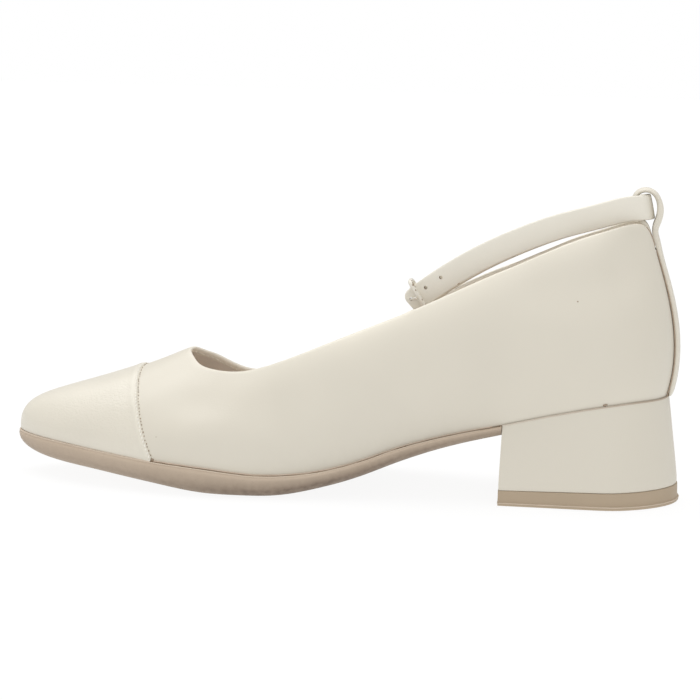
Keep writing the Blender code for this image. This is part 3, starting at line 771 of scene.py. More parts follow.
def runs_of(points: Sequence[Vector], closed: bool) -> list[Vector]:
    """Directions of a run of points.

    Args:
        points: Points of the run.
        closed: Whether the run comes back to its start.

    Returns:
        A unit direction for each point.
    """
    last = len(points) - 1
    found = []
    for k in range(len(points)):
        before = points[k - 1] if closed or k > 0 else points[0]
        after = points[(k + 1) % len(points)] if closed or k < last else points[last]
        found.append((after - before).normalized())
    return found


def sweep(body: Body, section: Sequence[Span], frames: Sequence[Matrix], closed: bool) -> None:
    """Draws a section along a row of placements.

    Args:
        body: Body that takes the shape.
        section: Points of the section on the first two axes.
        frames: Placements along the way.
        closed: Whether the way comes back to its start.
    """
    made = [body.verts.new(frames[0] @ Vector((a, b, 0.0))) for a, b in section]
    start = [body.edges.new((made[k - 1], made[k])) for k in range(len(made))]
    edges = start
    for before, after in zip(frames, frames[1:]):
        grown = bmesh.ops.extrude_edge_only(body, edges=edges)["geom"]
        verts = [item for item in grown if isinstance(item, Vert)]
        edges = [item for item in grown if isinstance(item, bmesh.types.BMEdge)]
        edges = [edge for edge in edges if all(vert in verts for vert in edge.verts)]
        bmesh.ops.transform(body, matrix=after @ before.inverted(), verts=verts)
        made += verts
    if closed:
        bmesh.ops.bridge_loops(body, edges=start + edges)
    else:
        bmesh.ops.holes_fill(body, edges=start, sides=0)
        bmesh.ops.holes_fill(body, edges=edges, sides=0)
    faces = list({face for vert in made for face in vert.link_faces})
    bmesh.ops.recalc_face_normals(body, faces=faces)
    shade_smooth(faces)


def bead(points: Sequence[Vector], radius: float, closed: bool) -> Body:
    """Makes a thin round line along points.

    Args:
        points: Points of the line.
        radius: Its radius.
        closed: Whether it comes back to its start.

    Returns:
        The line's body.
    """
    turns = [2.0 * math.pi * k / LINE_SIDES for k in range(LINE_SIDES)]
    section = [(radius * math.cos(turn), radius * math.sin(turn)) for turn in turns]
    frames = []
    for point, run in zip(points, runs_of(points, closed)):
        side = run.cross(UP if abs(run.z) < STEEP else Vector((0.0, 1.0, 0.0))).normalized()
        frames.append(axes(point, side, run.cross(side), run))
    body = bmesh.new()
    sweep(body, section, frames, closed)
    return body


@dataclass(frozen=True)
class Stitch:
    """One stitch of thread, as a slim grain that dips at its ends."""

    length: float
    width: float
    height: float

    def sew(self, body: Body, centre: Vector, run: Vector, normal: Vector) -> None:
        """Adds the stitch to a body.

        Args:
            body: Body of the row.
            centre: Middle of the stitch.
            run: Direction of the thread.
            normal: Direction out of the leather.
        """
        side = normal.cross(run).normalized()
        run = side.cross(normal).normalized()
        rise = normal.normalized() * self.height
        matrix = axes(centre, run * self.length, side * self.width, rise)
        made = bmesh.ops.create_icosphere(body, subdivisions=2, radius=0.5, matrix=matrix)
        shade_smooth({face for vert in made["verts"] for face in vert.link_faces})


class Last:
    """Middle of the foot, which tells the outside of a skin from its inside."""

    along: Sequence[float] = (-0.095, -0.04, 0.0, 0.04, 0.095)
    height: Sequence[float] = (0.022, 0.020, 0.030, 0.045, 0.060)

    @classmethod
    def is_outside(cls, point: Vector, normal: Vector) -> bool:
        """Tells whether a surface looks away from the foot.

        Args:
            point: Point of the surface.
            normal: Its direction.

        Returns:
            Whether it is on the outside.
        """
        along = min(max(point.x, cls.along[0]), cls.along[-1])
        middle = Vector((along, 0.0, float(np.interp(along, cls.along, cls.height))))
        return normal.dot(point - middle) > 0.0


class Nearness:
    """Distances to a closed run of points."""

    def __init__(self, loop: Sequence[Vector]) -> None:
        """Keeps close points of the run in a search tree.

        Args:
            loop: Points of the run.
        """
        points = even_points(loop, SEARCH_PITCH, True)
        self.tree = KDTree(len(points))
        for k, point in enumerate(points):
            self.tree.insert(point, k)
        self.tree.balance()

    def __call__(self, point: Vector) -> float:
        """Distance from a point to the run."""
        return self.tree.find(point)[2]


@dataclass(frozen=True)
class Trough:
    """A soft hollow along a line, in millimetres."""

    start: Place
    end: Place
    reach: float
    depth: float

    def depth_at(self, point: Vector) -> float:
        """Depth of the hollow at a point.

        Args:
            point: Point of the leather.

        Returns:
            The depth in metres.
        """
        start = Vector(self.start) * MM
        way = Vector(self.end) * MM - start
        share = held((point - start).dot(way) / way.length_squared)
        away = (point - start - way * share).length
        return self.depth * MM * fade(away, self.reach * MM)


TROUGHS = (
    Trough((72.0, -25.5, 80.0), (99.0, -19.0, 84.0), 9.0, 2.2),
    Trough((104.0, -13.0, 97.0), (98.0, -17.0, 93.0), 6.0, 0.7),
    Trough((-22.0, -31.0, 34.0), (10.0, -31.0, 40.0), 9.0, 0.35),
    Trough((-50.0, -31.5, 33.0), (-26.0, -32.5, 31.0), 10.0, 1.6),
    Trough((72.0, 25.5, 80.0), (99.0, 19.0, 84.0), 9.0, 1.8),
)
LEAN_SHARES = (
    (-64.0, 0.0), (-46.0, -0.6), (-30.0, 0.0), (5.0, 1.0), (80.0, 1.0), (100.0, 0.0),
)
# Where along the shoe the painted highlight of the topline lies.
HIGHLIGHT_SHARES = ((-32.0, 0.0), (5.0, 1.0), (92.0, 1.0), (106.0, 0.0))
SHADE_SHARES = ((-40.0, 0.0), (-5.0, 1.0), (40.0, 1.0), (64.0, 0.0))


@dataclass
class Upper:
    """Vamp and quarters with their lining, folded topline and inside stitch row."""

    looks_down: float = -0.9
    foot_crease: float = 1.0
    fold_width: float = 3.2 * MM
    heel_from: float = 108.3 * MM
    heel_aside: float = 1.5 * MM
    heel_line: float = 0.34 * MM
    heel_pitch: float = 1.0 * MM
    heel_out: float = 1.2 * MM
    heel_middle: float = 88.0 * MM
    # Dust and painted shade in the seam over the sole.
    crevice_reach: float = 0.7 * MM
    crevice_share: float = 0.22
    stitch_drop: float = 2.4 * MM
    stitch_pitch: float = 2.3 * MM
    stitch_rise: float = 0.05 * MM
    stitch: Stitch = Stitch(1.7 * MM, 0.42 * MM, 0.36 * MM)
    lean_in: float = 3.2 * MM
    lean_drop: float = 0.15 * MM
    lean_reach: float = 5.0 * MM
    lean_shares: Shares = LEAN_SHARES
    # Painted highlight along the topline: a thin bright rim and a broader paler band.
    rim_reach: float = 0.8 * MM
    highlight_reach: float = 5.0 * MM
    highlight_shares: Shares = HIGHLIGHT_SHARES
    dip: float = 0.7 * MM
    dip_at: float = 20.0 * MM
    dip_reach: float = 14.0 * MM
    # Painted shade where the leather turns under toward the sole.
    shade_share: float = 0.3
    shade_reach: float = 5.5 * MM
    shade_shares: Shares = SHADE_SHARES
    troughs: Sequence[Trough] = TROUGHS
    rim: list[Vector] = field(default_factory=list)
    foot: list[Vector] = field(default_factory=list)

    def build(self) -> BVHTree:
        """Makes the upper, its stitches and the raw edges at its heel.

        Returns:
            The upper's surface, for what lies on it.
        """
        body = cad_copy("upper")
        for face in body.faces:
            if not Last.is_outside(face.calc_center_median(), face.normal):
                face.material_index = Skin.LINING.value
        lining = [face for face in body.faces if face.material_index == Skin.LINING.value]
        leather = [face for face in body.faces if face.material_index == Skin.LEATHER.value]
        under = {face for face in leather if face.normal.z < self.looks_down}
        self.rim = max(
            border_loops(lining), key=lambda loop: sum(point.z for point in loop) / len(loop)
        )
        self.foot = longest_border(under)
        crisp = body.edges.layers.float.new("crease_edge")
        for edge in body.edges:
            pair = [face for face in edge.link_faces if face not in under]
            if len(pair) == 1 and pair[0].material_index == Skin.LEATHER.value:
                edge[crisp] = self.foot_crease
        fine = smoothed(body, FINE)
        self.relief(fine)
        surface = BVHTree.FromBMesh(fine)
        finishes = (UPPER_LEATHER, LINING, FOLDED_LEATHER)
        place(fine, "upper_leather", finishes, "upper", Slot.UPPER)
        self.sew_topline(surface)
        self.draw_heel_edges(surface)
        return surface

    def relief(self, body: Body) -> None:
        """Marks the painted highlight along the topline and the dust and painted shade over the
        sole, presses the troughs and leans the topline in.

        Args:
            body: The fine body.
        """
        to_rim = Nearness(self.rim)
        to_foot = Nearness(self.foot)

        def dust_and_shade(vert: Vert) -> float:
            """Dust and painted shade in the seam over the sole, and the painted shade of the turn
            above it.

            Args:
                vert: Point of the upper.

            Returns:
                The share of dust and painted shade.
            """
            rise = to_foot(vert.co)
            shade = math.exp(-rise / self.shade_reach) * share_at(vert.co.x, self.shade_shares)
            crevice = self.crevice_share * fade(rise, self.crevice_reach)
            return max(crevice, self.shade_share * shade)

        def topline_highlight(vert: Vert) -> float:
            """Painted highlight on the outside along the topline: a thin bright rim and a paler
            band below it.

            Args:
                vert: Point of the upper.

            Returns:
                The share of the painted highlight.
            """
            if not Last.is_outside(vert.co, vert.normal):
                return 0.0
            away = to_rim(vert.co)
            band = math.exp(-away / self.highlight_reach) * share_at(vert.co.x, self.highlight_shares)
            return max(band, math.exp(-away / self.rim_reach))

        def move(vert: Vert) -> Vector:
            """Lean of the topline, and the troughs, which both skins follow.

            Args:
                vert: Point of the upper.

            Returns:
                The point's move.
            """
            sink = sum(trough.depth_at(vert.co) for trough in self.troughs)
            if Last.is_outside(vert.co, vert.normal):
                sink = -sink
            return self.lean_at(vert.co, to_rim(vert.co)) + vert.normal * sink

        # Dust and painted shade over the sole.
        write_layer(body, CREVICE, dust_and_shade)
        # Painted highlight along the topline.
        write_layer(body, PAINTED_HIGHLIGHT, topline_highlight)
        # The band inside the topline takes the folded finish, painted lighter than the leather
        # outside.
        for face in body.faces:
            near = to_rim(face.calc_center_median()) < self.fold_width
            if near and face.material_index == Skin.LINING.value:
                face.material_index = Skin.FOLD.value
        shift(body, move)
        self.rim = [point + self.lean_at(point, 0.0) for point in self.rim]

    def lean_at(self, point: Vector, away: float) -> Vector:
        """Finds how far the wall leans in on the inner side and dips on the outer.

        Args:
            point: Point of the wall.
            away: Its distance from the topline.

        Returns:
            The point's move.
        """
        share = math.exp(-away / self.lean_reach)
        if point.y > 0.0:
            return UP * (-self.dip * share * fade(point.x - self.dip_at, self.dip_reach))
        share *= share_at(point.x, self.lean_shares)
        return Vector((0.0, self.lean_in * share, -self.lean_drop * share))

    def sew_topline(self, surface: BVHTree) -> None:
        """Sews the row of stitches inside the topline.

        Args:
            surface: The upper's surface.
        """
        points = even_points(self.rim, self.stitch_pitch, True)
        row = bmesh.new()
        for point, run in zip(points, runs_of(points, True)):
            normal = surface.find_nearest(point - UP * MM)[1]
            down = normal.cross(run).normalized()
            if down.z > 0.0:
                down.negate()
            spot, normal, _, _ = surface.find_nearest(point + down * self.stitch_drop)
            self.stitch.sew(row, spot + normal * self.stitch_rise, run, normal)
        place(row, "topline_stitches", (LINING_THREAD,))

    def draw_heel_edges(self, surface: BVHTree) -> None:
        """Draws the raw edge where the topline drops on both sides of the back strip.

        Args:
            surface: The upper's surface.
        """
        back = [point for point in self.rim if point.x > self.heel_from]
        for name, side in SIDES:
            points = [point for point in back if point.y * side > self.heel_aside]
            points.sort(key=lambda point: point.z)
            outer = []
            for point in even_points(points, self.heel_pitch, False):
                out = outward(point, self.heel_middle)
                outer.append(surface.find_nearest(point + out * self.heel_out)[0])
            points = even_points(outer, self.heel_pitch, False)
            place(bead(points, self.heel_line, False), f"heel_edge_{name}", (RAW_EDGE,))


@dataclass
class ToeCap:
    """Overlay of the toe with its puffed edge, stitches and needle pits.

    The edge's curve is in millimetres, and so are the ranges of the draws, but slants and sizes
    are shares.
    """

    ridge_along: float = -77.1
    ridge_height: float = 41.3
    lean: float = 0.222
    curve: float = 0.00435
    rim_depth: float = 0.6 * MM
    facing: float = 0.6
    seam_gap: Span = (0.65 * MM, 1.5 * MM)
    seam_middle: float = 10.0 * MM
    foot_gap: Span = (0.7 * MM, 1.5 * MM)
    foot_middle: float = -70.0 * MM
    foot_line: float = 0.28 * MM
    foot_drop: float = 0.1 * MM
    # Dust and painted shade over the sole, by distance from the upper's foot.
    crevice_reach: float = 1.2 * MM
    crevice_share: float = 0.2
    puff: float = 0.28 * MM
    puff_at: float = 1.9 * MM
    puff_reach: float = 1.0 * MM
    sink: float = 0.33 * MM
    sink_reach: float = 2.2 * MM
    thin: float = 0.42 * MM
    thin_reach: float = 0.9 * MM
    pitch: float = 1.5 * MM
    stitch: Stitch = Stitch(1.2 * MM, 0.5 * MM, 0.4 * MM)
    stitch_in: Span = (0.3, 0.5)
    stitch_slant: Span = (0.1, 0.8)
    stitch_rise: Span = (-0.05, 0.05)
    pit: Stitch = Stitch(0.8 * MM, 0.6 * MM, 0.36 * MM)
    pit_out: Span = (0.0, 0.25)
    pit_ahead: Span = (0.35, 0.85)
    pit_sizes: Span = (0.8, 1.3)
    pit_shrink: float = 0.55
    pit_rise: float = 0.06 * MM
    seed: int = 7

    def in_front(self, point: Vector) -> float:
        """Finds how far a point lies in front of the cap's edge.

        Args:
            point: Point of the cap.

        Returns:
            The distance.
        """
        drop = self.ridge_height - point.z / MM
        edge = self.ridge_along + self.lean * drop + self.curve * drop * drop
        slope = self.lean + 2.0 * self.curve * drop
        return (edge * MM - point.x) / math.hypot(1.0, slope)

    def move_at(self, vert: Vert, upper: BVHTree) -> Vector:
        """Finds how far the cap sinks and thins at its edge and puffs beside it.

        Args:
            vert: Point of the cap.
            upper: Surface of the upper.

        Returns:
            The point's move.
        """
        away = self.in_front(vert.co)
        out = upper.find_nearest(vert.co)[1]
        rise = -self.sink * fade(max(away, 0.0), self.sink_reach)
        if vert.normal.dot(out) > 0.0:
            rise += self.puff * fade(away - self.puff_at, self.puff_reach)
            rise -= self.thin * fade(max(away, 0.0), self.thin_reach)
        return out * rise

    def build(self, upper: BVHTree, foot: Sequence[Vector]) -> None:
        """Makes the cap, its seam and the line under it.

        Args:
            upper: Surface of the upper.
            foot: Lower edge of the upper.
        """
        body = cad_copy("toe_cap")
        rim = [
            face for face in body.faces
            if face.normal.x > self.facing
            and self.in_front(face.calc_center_median()) < self.rim_depth
        ]
        seam = edge_points(rim, upper, self.seam_gap)
        seam.sort(key=lambda point: math.atan2(point.y, point.z - self.seam_middle))
        under = [face for face in body.faces if face.normal.z < -self.facing]
        line = edge_points(under, upper, self.foot_gap)
        line.sort(key=lambda point: math.atan2(point.y, self.foot_middle - point.x))
        fine = smoothed(body, FINE)
        to_foot = Nearness(foot)

        def dust_and_shade(vert: Vert) -> float:
            """Dust and painted shade over the sole."""
            return self.crevice_share * fade(to_foot(vert.co), self.crevice_reach)

        # Dust and painted shade over the sole.
        write_layer(fine, CREVICE, dust_and_shade)
        shift(fine, lambda vert: self.move_at(vert, upper))
        surface = BVHTree.FromBMesh(fine)
        place(fine, "toe_cap_leather", (CAP_LEATHER,), "toe_cap", Slot.CAP)
        self.sew_seam(seam, surface, upper)
        points = [point - UP * self.foot_drop for point in even_points(line, LINE_PITCH, False)]
        place(bead(points, self.foot_line, False), "cap_foot_line", (SOLE_SEAM,))

    def sew_seam(self, seam: Sequence[Vector], cap: BVHTree, upper: BVHTree) -> None:
        """Sews short threads over the cap's edge, with pits beside them.

        Args:
            seam: Points of the edge.
            cap: Surface of the cap.
            upper: Surface of the upper.
        """
        draw = random.Random(self.seed)
        points = even_points(seam, self.pitch, False)
        threads = bmesh.new()
        pits = bmesh.new()
        for point, run in zip(points, runs_of(points, False)):
            normal = upper.find_nearest(point)[1]
            across = run.cross(normal).normalized()
            if across.x < 0.0:
                across.negate()
            spot = cap.find_nearest(point - across * draw.uniform(*self.stitch_in) * MM)[0]
            slant = (run + across * draw.uniform(*self.stitch_slant)).normalized()
            spot += normal * draw.uniform(*self.stitch_rise) * MM
            self.stitch.sew(threads, spot, slant, normal)
            aside = across * draw.uniform(*self.pit_out) + run * draw.uniform(*self.pit_ahead)
            low, out, _, _ = upper.find_nearest(point + aside * MM)
            share = 1.0 - self.pit_shrink * held(point.z / MM / self.ridge_height)
            share *= draw.uniform(*self.pit_sizes)
            pit = Stitch(self.pit.length * share, self.pit.width * share, self.pit.height)
            pit.sew(pits, low + out * self.pit_rise, slant, out)
        place(threads, "cap_stitches", (THREAD,))
        place(pits, "cap_needle_pits", (PIT,))


@dataclass
class Heel:
    """Covered block, its top lift with a lip and a painted highlight along it, and the raw line of
    the cover under the seat.
    """

    edge: float = 0.15 * MM
    sharp: float = 40.0
    line: float = 0.3 * MM
    line_in: float = 0.1 * MM
    line_rise: float = 0.1 * MM
    middle: float = 93.0 * MM
    top_out: float = 0.4 * MM
    stain_from: float = 60.0 * MM
    stain_reach: float = 62.0 * MM
    stain: float = 0.8
    lift_edge: float = 0.2 * MM
    lift_sharp: float = 35.0
    lift_rise: float = 0.28 * MM
    lift_top: float = 3.5 * MM
    lip_height: float = 1.2 * MM
    lip_band: float = 0.15 * MM
    lip_highlight_radius: float = 0.2 * MM
    lip_in: float = 0.1 * MM

    def build(self) -> None:
        """Makes the block, the lift and the lines on them."""
        block = cad_copy("heel_block")
        top = top_faces(block)
        for vert in {vert for face in top for vert in face.verts}:
            vert.co += outward(vert.co, self.middle) * self.top_out
        ring = longest_border(top)
        soften(block, self.sharp, self.edge)
        place(smoothed(block, COARSE), "heel_cover", (HEEL_LEATHER,), "heel_block", Slot.HEEL)
        points = [
            point + UP * self.line_rise - outward(point, self.middle) * self.line_in
            for point in even_points(ring, LINE_PITCH, True)
        ]
        line = bead(points, self.line, True)

        def stain(vert: Vert) -> float:
            """Stain, which grows to the back."""
            return self.stain * held((vert.co.x - self.stain_from) / self.stain_reach)

        write_layer(line, CREVICE, stain)
        place(line, "heel_cover_edge", (COVER_EDGE,))
        self.build_lift()

    def build_lift(self) -> None:
        """Makes the lift, close under the block, and the painted highlight along its lip."""
        lift = cad_copy("heel_top_lift")
        for vert in lift.verts:
            if vert.co.z > self.lift_top:
                vert.co.z += self.lift_rise
        points = [vert.co.copy() for vert in lift.verts]
        lip = [point for point in points if abs(point.z - self.lip_height) < self.lip_band]
        lip.sort(key=lambda point: math.atan2(point.y, point.x - self.middle))
        soften(lift, self.lift_sharp, self.lift_edge)
        place(smoothed(lift, COARSE), "heel_top_piece", (LIFT_RUBBER,), "heel_top_lift", Slot.LIFT)
        # Painted highlight along the lift's lip.
        points = even_points(lip, LINE_PITCH, True)
        points = [point - outward(point, self.middle) * self.lip_in for point in points]
        place(bead(points, self.lip_highlight_radius, True), "heel_lip_highlight", (LIP_HIGHLIGHT,))


@dataclass
class Sole:
    """Moulded outsole with the line between it and the upper, and the insole's sock."""

    edge: float = 0.3 * MM
    sharp: float = 45.0
    sock_sharp: float = 30.0
    breast: float = 60.0 * MM
    end_from: float = 58.5 * MM
    end_out: float = 0.18 * MM
    # Painted shade on the sole's lower side: its middle along the sole, its reach and its least
    # share.
    sole_shade_at: float = -10.0 * MM
    sole_shade_reach: float = 60.0 * MM
    sole_shade_least: float = 0.4
    turn_from: float = 0.12
    turn_span: float = 0.7
    line: float = 0.3 * MM
    line_rise: float = 0.05 * MM
    lip_highlight_radius: float = 0.24 * MM
    lip_drop: float = 0.12 * MM

    def build(self, foot: Sequence[Vector]) -> None:
        """Makes the outsole, the lines on it and the sock.

        Args:
            foot: Lower edge of the upper.
        """
        sole = cad_copy("outsole")
        for vert in sole.verts:
            if vert.co.x > self.end_from:
                vert.co.x += self.end_out
        lip = [point for point in longest_border(top_faces(sole)) if point.x < self.end_from]
        soften(sole, self.sharp, self.edge)
        fine = smoothed(sole, FINE)
        # Painted shade where the sole turns under.
        write_layer(fine, CREVICE, self.sole_shade)
        place(fine, "outsole_rubber", (RUBBER,), "outsole", Slot.OUTSOLE)
        seam = self.opened([point for point in foot if point.x < self.breast])
        points = [point + UP * self.line_rise for point in seam]
        place(bead(points, self.line, False), "sole_line", (SOLE_SEAM,))
        # Painted highlight along the sole's lip.
        points = [point - UP * self.lip_drop for point in self.opened(lip)]
        place(bead(points, self.lip_highlight_radius, False), "sole_lip_highlight", (LIP_HIGHLIGHT,))
        sock = cad_copy("insole")
        soften(sock, self.sock_sharp, self.edge)
        place(smoothed(sock, COARSE), "insole_sock", (SOCK,), "insole", Slot.INSOLE)

    def sole_shade(self, vert: Vert) -> float:
        """Finds the painted shade on the sole's lower side, strongest where it looks down and near
        the middle of its length.

        Args:
            vert: Point of the sole.

        Returns:
            The share of painted shade.
        """
        # Painted shade grows as the surface looks down, and is strongest near the middle of the
        # sole.
        turn = held((self.turn_from - vert.normal.z) / self.turn_span)
        worn = fade(vert.co.x - self.sole_shade_at, self.sole_shade_reach)
        return turn * (self.sole_shade_least + (1.0 - self.sole_shade_least) * worn)

    @staticmethod
    def opened(points: Sequence[Vector]) -> list[Vector]:
        """Turns part of a loop into an open run that starts and ends at the breast.

        Args:
            points: Points of the loop that are kept.

        Returns:
            Even points of the run.
        """
        split = max(range(len(points)), key=lambda k: (points[k] - points[k - 1]).length)
        return even_points([*points[split:], *points[:split]], LINE_PITCH, False)


@dataclass
class BackStrip:
    """Strip over the back seam with its loop, and the brown line along its edges."""

    line: float = 0.22 * MM
    top: float = 98.6 * MM
    facing: float = 0.6
    gap: Span = (0.0, 0.6 * MM)

    def build(self, upper: BVHTree) -> None:
        """Makes the strip and its edge lines.

        Args:
            upper: Surface of the upper.
        """
        strip = cad_copy("back_strip")
        low = [face for face in strip.faces if face.calc_center_median().z < self.top]
        edges: dict[str, list[Vector]] = {}
        for name, side in SIDES:
            flank = [face for face in low if face.normal.y * side > self.facing]
            edges[name] = edge_points(flank, upper, self.gap)
        fine = smoothed(strip, FINE)
        place(fine, "back_strip_leather", (STRIP_LEATHER,), "back_strip", Slot.STRIP)
        for name, edge in edges.items():
            edge.sort(key=lambda point: point.z)
            points = even_points(edge, LINE_PITCH, False)
            place(bead(points, self.line, False), f"back_strip_line_{name}", (RAW_EDGE,))


@dataclass(frozen=True)
class Station:
    """A place along the strap, with its directions and its distance from the tip."""

    point: Vector
    run: Vector
    up: Vector
    reach: float

    @property
    def side(self) -> Vector:
        """Direction out of the strap's outer face."""
        return self.run.cross(self.up)


@dataclass(frozen=True)
class Hole:
    """A hole through the strap: its middle, the strap's width direction and its axis."""

    centre: Vector
    across: Vector
    axis: Vector


STRAP_ROUTE = (
    (24.15, -9.4, 70.3),
    (25.8, -9.6, 71.9),
    (35.4, -10.6, 79.6),
    (49.6, -11.6, 88.7),
    (64.0, -12.1, 95.9),
    (78.2, -12.0, 101.5),
    (92.7, -9.9, 105.7),
    (104.4, -6.7, 108.6),
    (110.4, -3.2, 109.05),
    (110.4, 3.2, 109.05),
    (104.4, 6.7, 107.7),
    (92.7, 9.4, 104.2),
    (78.2, 9.6, 99.7),
    (64.0, 6.8, 94.1),
    (49.6, 1.6, 87.2),
    (39.2, -1.9, 81.1),
    (30.6, -2.9, 75.4),
)
STRAP_DENTS = (
    Trough((69.0, -13.0, 94.5), (72.5, -13.0, 101.5), 2.2, 0.16),
    Trough((79.0, -13.0, 103.0), (85.0, -12.6, 104.8), 1.5, 0.12),
)


@dataclass
class Strap:
    """Ankle strap from its rounded tip round the heel to its fold, with holes and slot.

    Its sizes, route and stations are in millimetres.
    """

    route: Sequence[Place] = STRAP_ROUTE
    width: float = 9.2
    wall: float = 1.8
    corner: float = 0.62
    corner_steps: int = 4
    crown: float = 0.08
    lean: float = 0.22
    lean_from: float = 95.2
    lean_to: float = 110.2
    step: float = 0.9
    tip: float = 2.8
    tip_steps: int = 12
    tip_share: float = 0.92
    bar: float = 0.9
    gap: float = 0.3
    fold_lead: float = 3.3
    fold_steps: int = 12
    fold_length: float = 9.0
    end_steps: int = 10
    hole: float = 0.66
    hole_rise: float = 1.2
    hole_depth: float = 2.8
    hole_sides: int = 20
    hole_slack: float = 0.02
    hole_facing: float = 0.5
    first_hole: float = 2.0
    hole_pitch: float = 6.8
    holes: int = 3
    slot_length: float = 4.0
    slot_depth: float = 8.0
    slot_height: float = 3.2
    slot_rise: float = 0.9
    dents: Sequence[Trough] = STRAP_DENTS
    chips: Sequence[float] = (18.6, 19.9, 29.2)
    chip_rise: float = 0.35
    chip_in: float = 0.12
    chip: Stitch = Stitch(1.3 * MM, 0.45 * MM, 0.3 * MM)

    def section(self) -> list[Span]:
        """Draws the rounded oblong of the strap with slightly crowned faces.

        Returns:
            Its points.
        """
        half = self.width / 2.0 - self.corner
        rise = self.wall / 2.0 - self.corner
        corners = ((half, rise), (-half, rise), (-half, -rise), (half, -rise))
        points = []
        for quarter, (a, b) in enumerate(corners):
            for k in range(self.corner_steps + 1):
                turn = math.pi / 2.0 * (quarter + k / self.corner_steps)
                points.append((a + self.corner * math.cos(turn), b + self.corner * math.sin(turn)))
            if quarter % 2 == 0:
                way = 1.0 if quarter == 0 else -1.0
                for share in (0.5, 0.0, -0.5):
                    top = self.wall / 2.0 + self.crown * (1.0 - share**2)
                    points.append((way * half * share, way * top))
        return points

    def line(self) -> np.ndarray:
        """Draws the smooth curve through the route, with close points at the tip.

        Returns:
            Its points.
        """
        points = np.array(self.route)
        reach = reaches(points)
        gaps = np.diff(reach)
        count = len(points)
        system = np.zeros((count, count))
        right = np.zeros_like(points)
        for i in range(count - 1):
            pull = 3.0 * (points[i + 1] - points[i]) / gaps[i] ** 2
            for one, other in ((i, i + 1), (i + 1, i)):
                system[one, one] += 2.0 / gaps[i]
                system[one, other] += 1.0 / gaps[i]
                right[one] += pull
        slopes = np.linalg.solve(system, right)
        turns = np.linspace(0.0, math.pi / 2.0, self.tip_steps, endpoint=False)
        marks = np.linspace(self.tip, reach[-1], round((reach[-1] - self.tip) / self.step) + 1)
        marks = np.concatenate([self.tip * (1.0 - np.cos(turns)), marks])
        i = np.clip(np.searchsorted(reach, marks, side="right") - 1, 0, count - 2)
        gap = gaps[i][:, None]
        u = (marks - reach[i])[:, None] / gap
        start = (2 * u**3 - 3 * u**2 + 1) * points[i] + (u**3 - 2 * u**2 + u) * gap * slopes[i]
        end = (3 * u**2 - 2 * u**3) * points[i + 1] + (u**3 - u**2) * gap * slopes[i + 1]
        return start + end

    def upright(self, point: Vector, run: Vector) -> Vector:
        """Finds the direction of the strap's width.

        Args:
            point: Place on the line.
            run: Direction of the line.

        Returns:
            The width's unit direction.
        """
        share = held((point.x - self.lean_from) / (self.lean_to - self.lean_from))
        up = Vector((-self.lean * eased(share), 0.0, 1.0))
        return (up - run * up.dot(run)).normalized()

    def stations(self) -> tuple[list[Station], Vector]:
        """Follows the strap and its fold.

        Returns:
            The stations, and the middle of the fold's bar.
        """
        points = [Vector(row) for row in self.line()]
        run = (points[-1] - points[-2]).normalized()
        up = self.upright(points[-1], run)
        face = up.cross(run)
        radius = self.bar + self.gap + self.wall / 2.0
        bar = points[-1] + face * radius + run * self.fold_lead
        fold_from = len(points) - 1
        for k in range(self.fold_steps + 1):
            turn = math.pi * k / self.fold_steps
            points.append(bar - face * radius * math.cos(turn) + run * radius * math.sin(turn))
        closing = 2.0 * radius - self.wall - self.gap
        for k in range(1, self.end_steps + 1):
            share = k / self.end_steps
            away = face * (radius - closing * eased(share))
            points.append(bar + away - run * self.fold_length * share)
        runs = runs_of(points, False)
        ups = [self.upright(point, way) for point, way in zip(points, runs)]
        ups[fold_from:] = [up] * (len(points) - fold_from)
        return [Station(*row) for row in zip(points, runs, ups, reaches(points))], bar

    def build(self) -> None:
        """Makes the strap, cuts its holes and chips its edge."""
        stations, bar = self.stations()
        frames = []
        for stop in stations:
            inside = max(0.0, self.tip - stop.reach)
            drop = self.tip - math.sqrt(max(0.0, self.tip**2 - inside**2))
            scale = 1.0 - 2.0 * min(drop, self.tip * self.tip_share) / self.width
            across = stop.up * MM * scale
            frames.append(axes(stop.point * MM, across, stop.side * -MM, stop.run * MM))
        body = bmesh.new()
        sweep(body, self.section(), frames, False)
        for vert in body.verts:
            vert.co.y += sum(dent.depth_at(vert.co) for dent in self.dents)
        holes = self.hole_places(stations)
        cutters = self.cutters(holes, stations[-1].up, bar)

        def dress(holder: bpy.types.Object) -> None:
            """Adds a cut for each cutter.

            Args:
                holder: Object that takes the cuts.
            """
            for cutter in cutters:
                cut = holder.modifiers.new(cutter.name, "BOOLEAN")
                cut.operation = "DIFFERENCE"
                cut.solver = "EXACT"
                cut.object = cutter

        strap = evaluated(body, dress)
        for cutter in cutters:
            bpy.data.objects.remove(cutter)
        for face in strap.faces:
            face.material_index = int(self.is_hole_wall(face, holes))
        place(strap, "strap_leather", (STRAP_LEATHER, RAW_EDGE), "ankle_strap", Slot.STRAP)
        self.chip_edge(stations)

    def chip_edge(self, stations: Sequence[Station]) -> None:
        """Marks where the paint is off the lower edge.

        Args:
            stations: Places on the strap.
        """
        tip = stations[0].point
        low = self.width / 2.0 - self.chip_rise
        out = self.wall / 2.0 - self.chip_in
        marks = bmesh.new()
        for reach in self.chips:
            stop = min(stations, key=lambda stop: abs((stop.point - tip).length - reach))
            spot = stop.point - stop.up * low + stop.side * out
            self.chip.sew(marks, spot * MM, stop.run, (stop.side - stop.up).normalized())
        place(marks, "strap_edge_chips", (RAW_EDGE,))

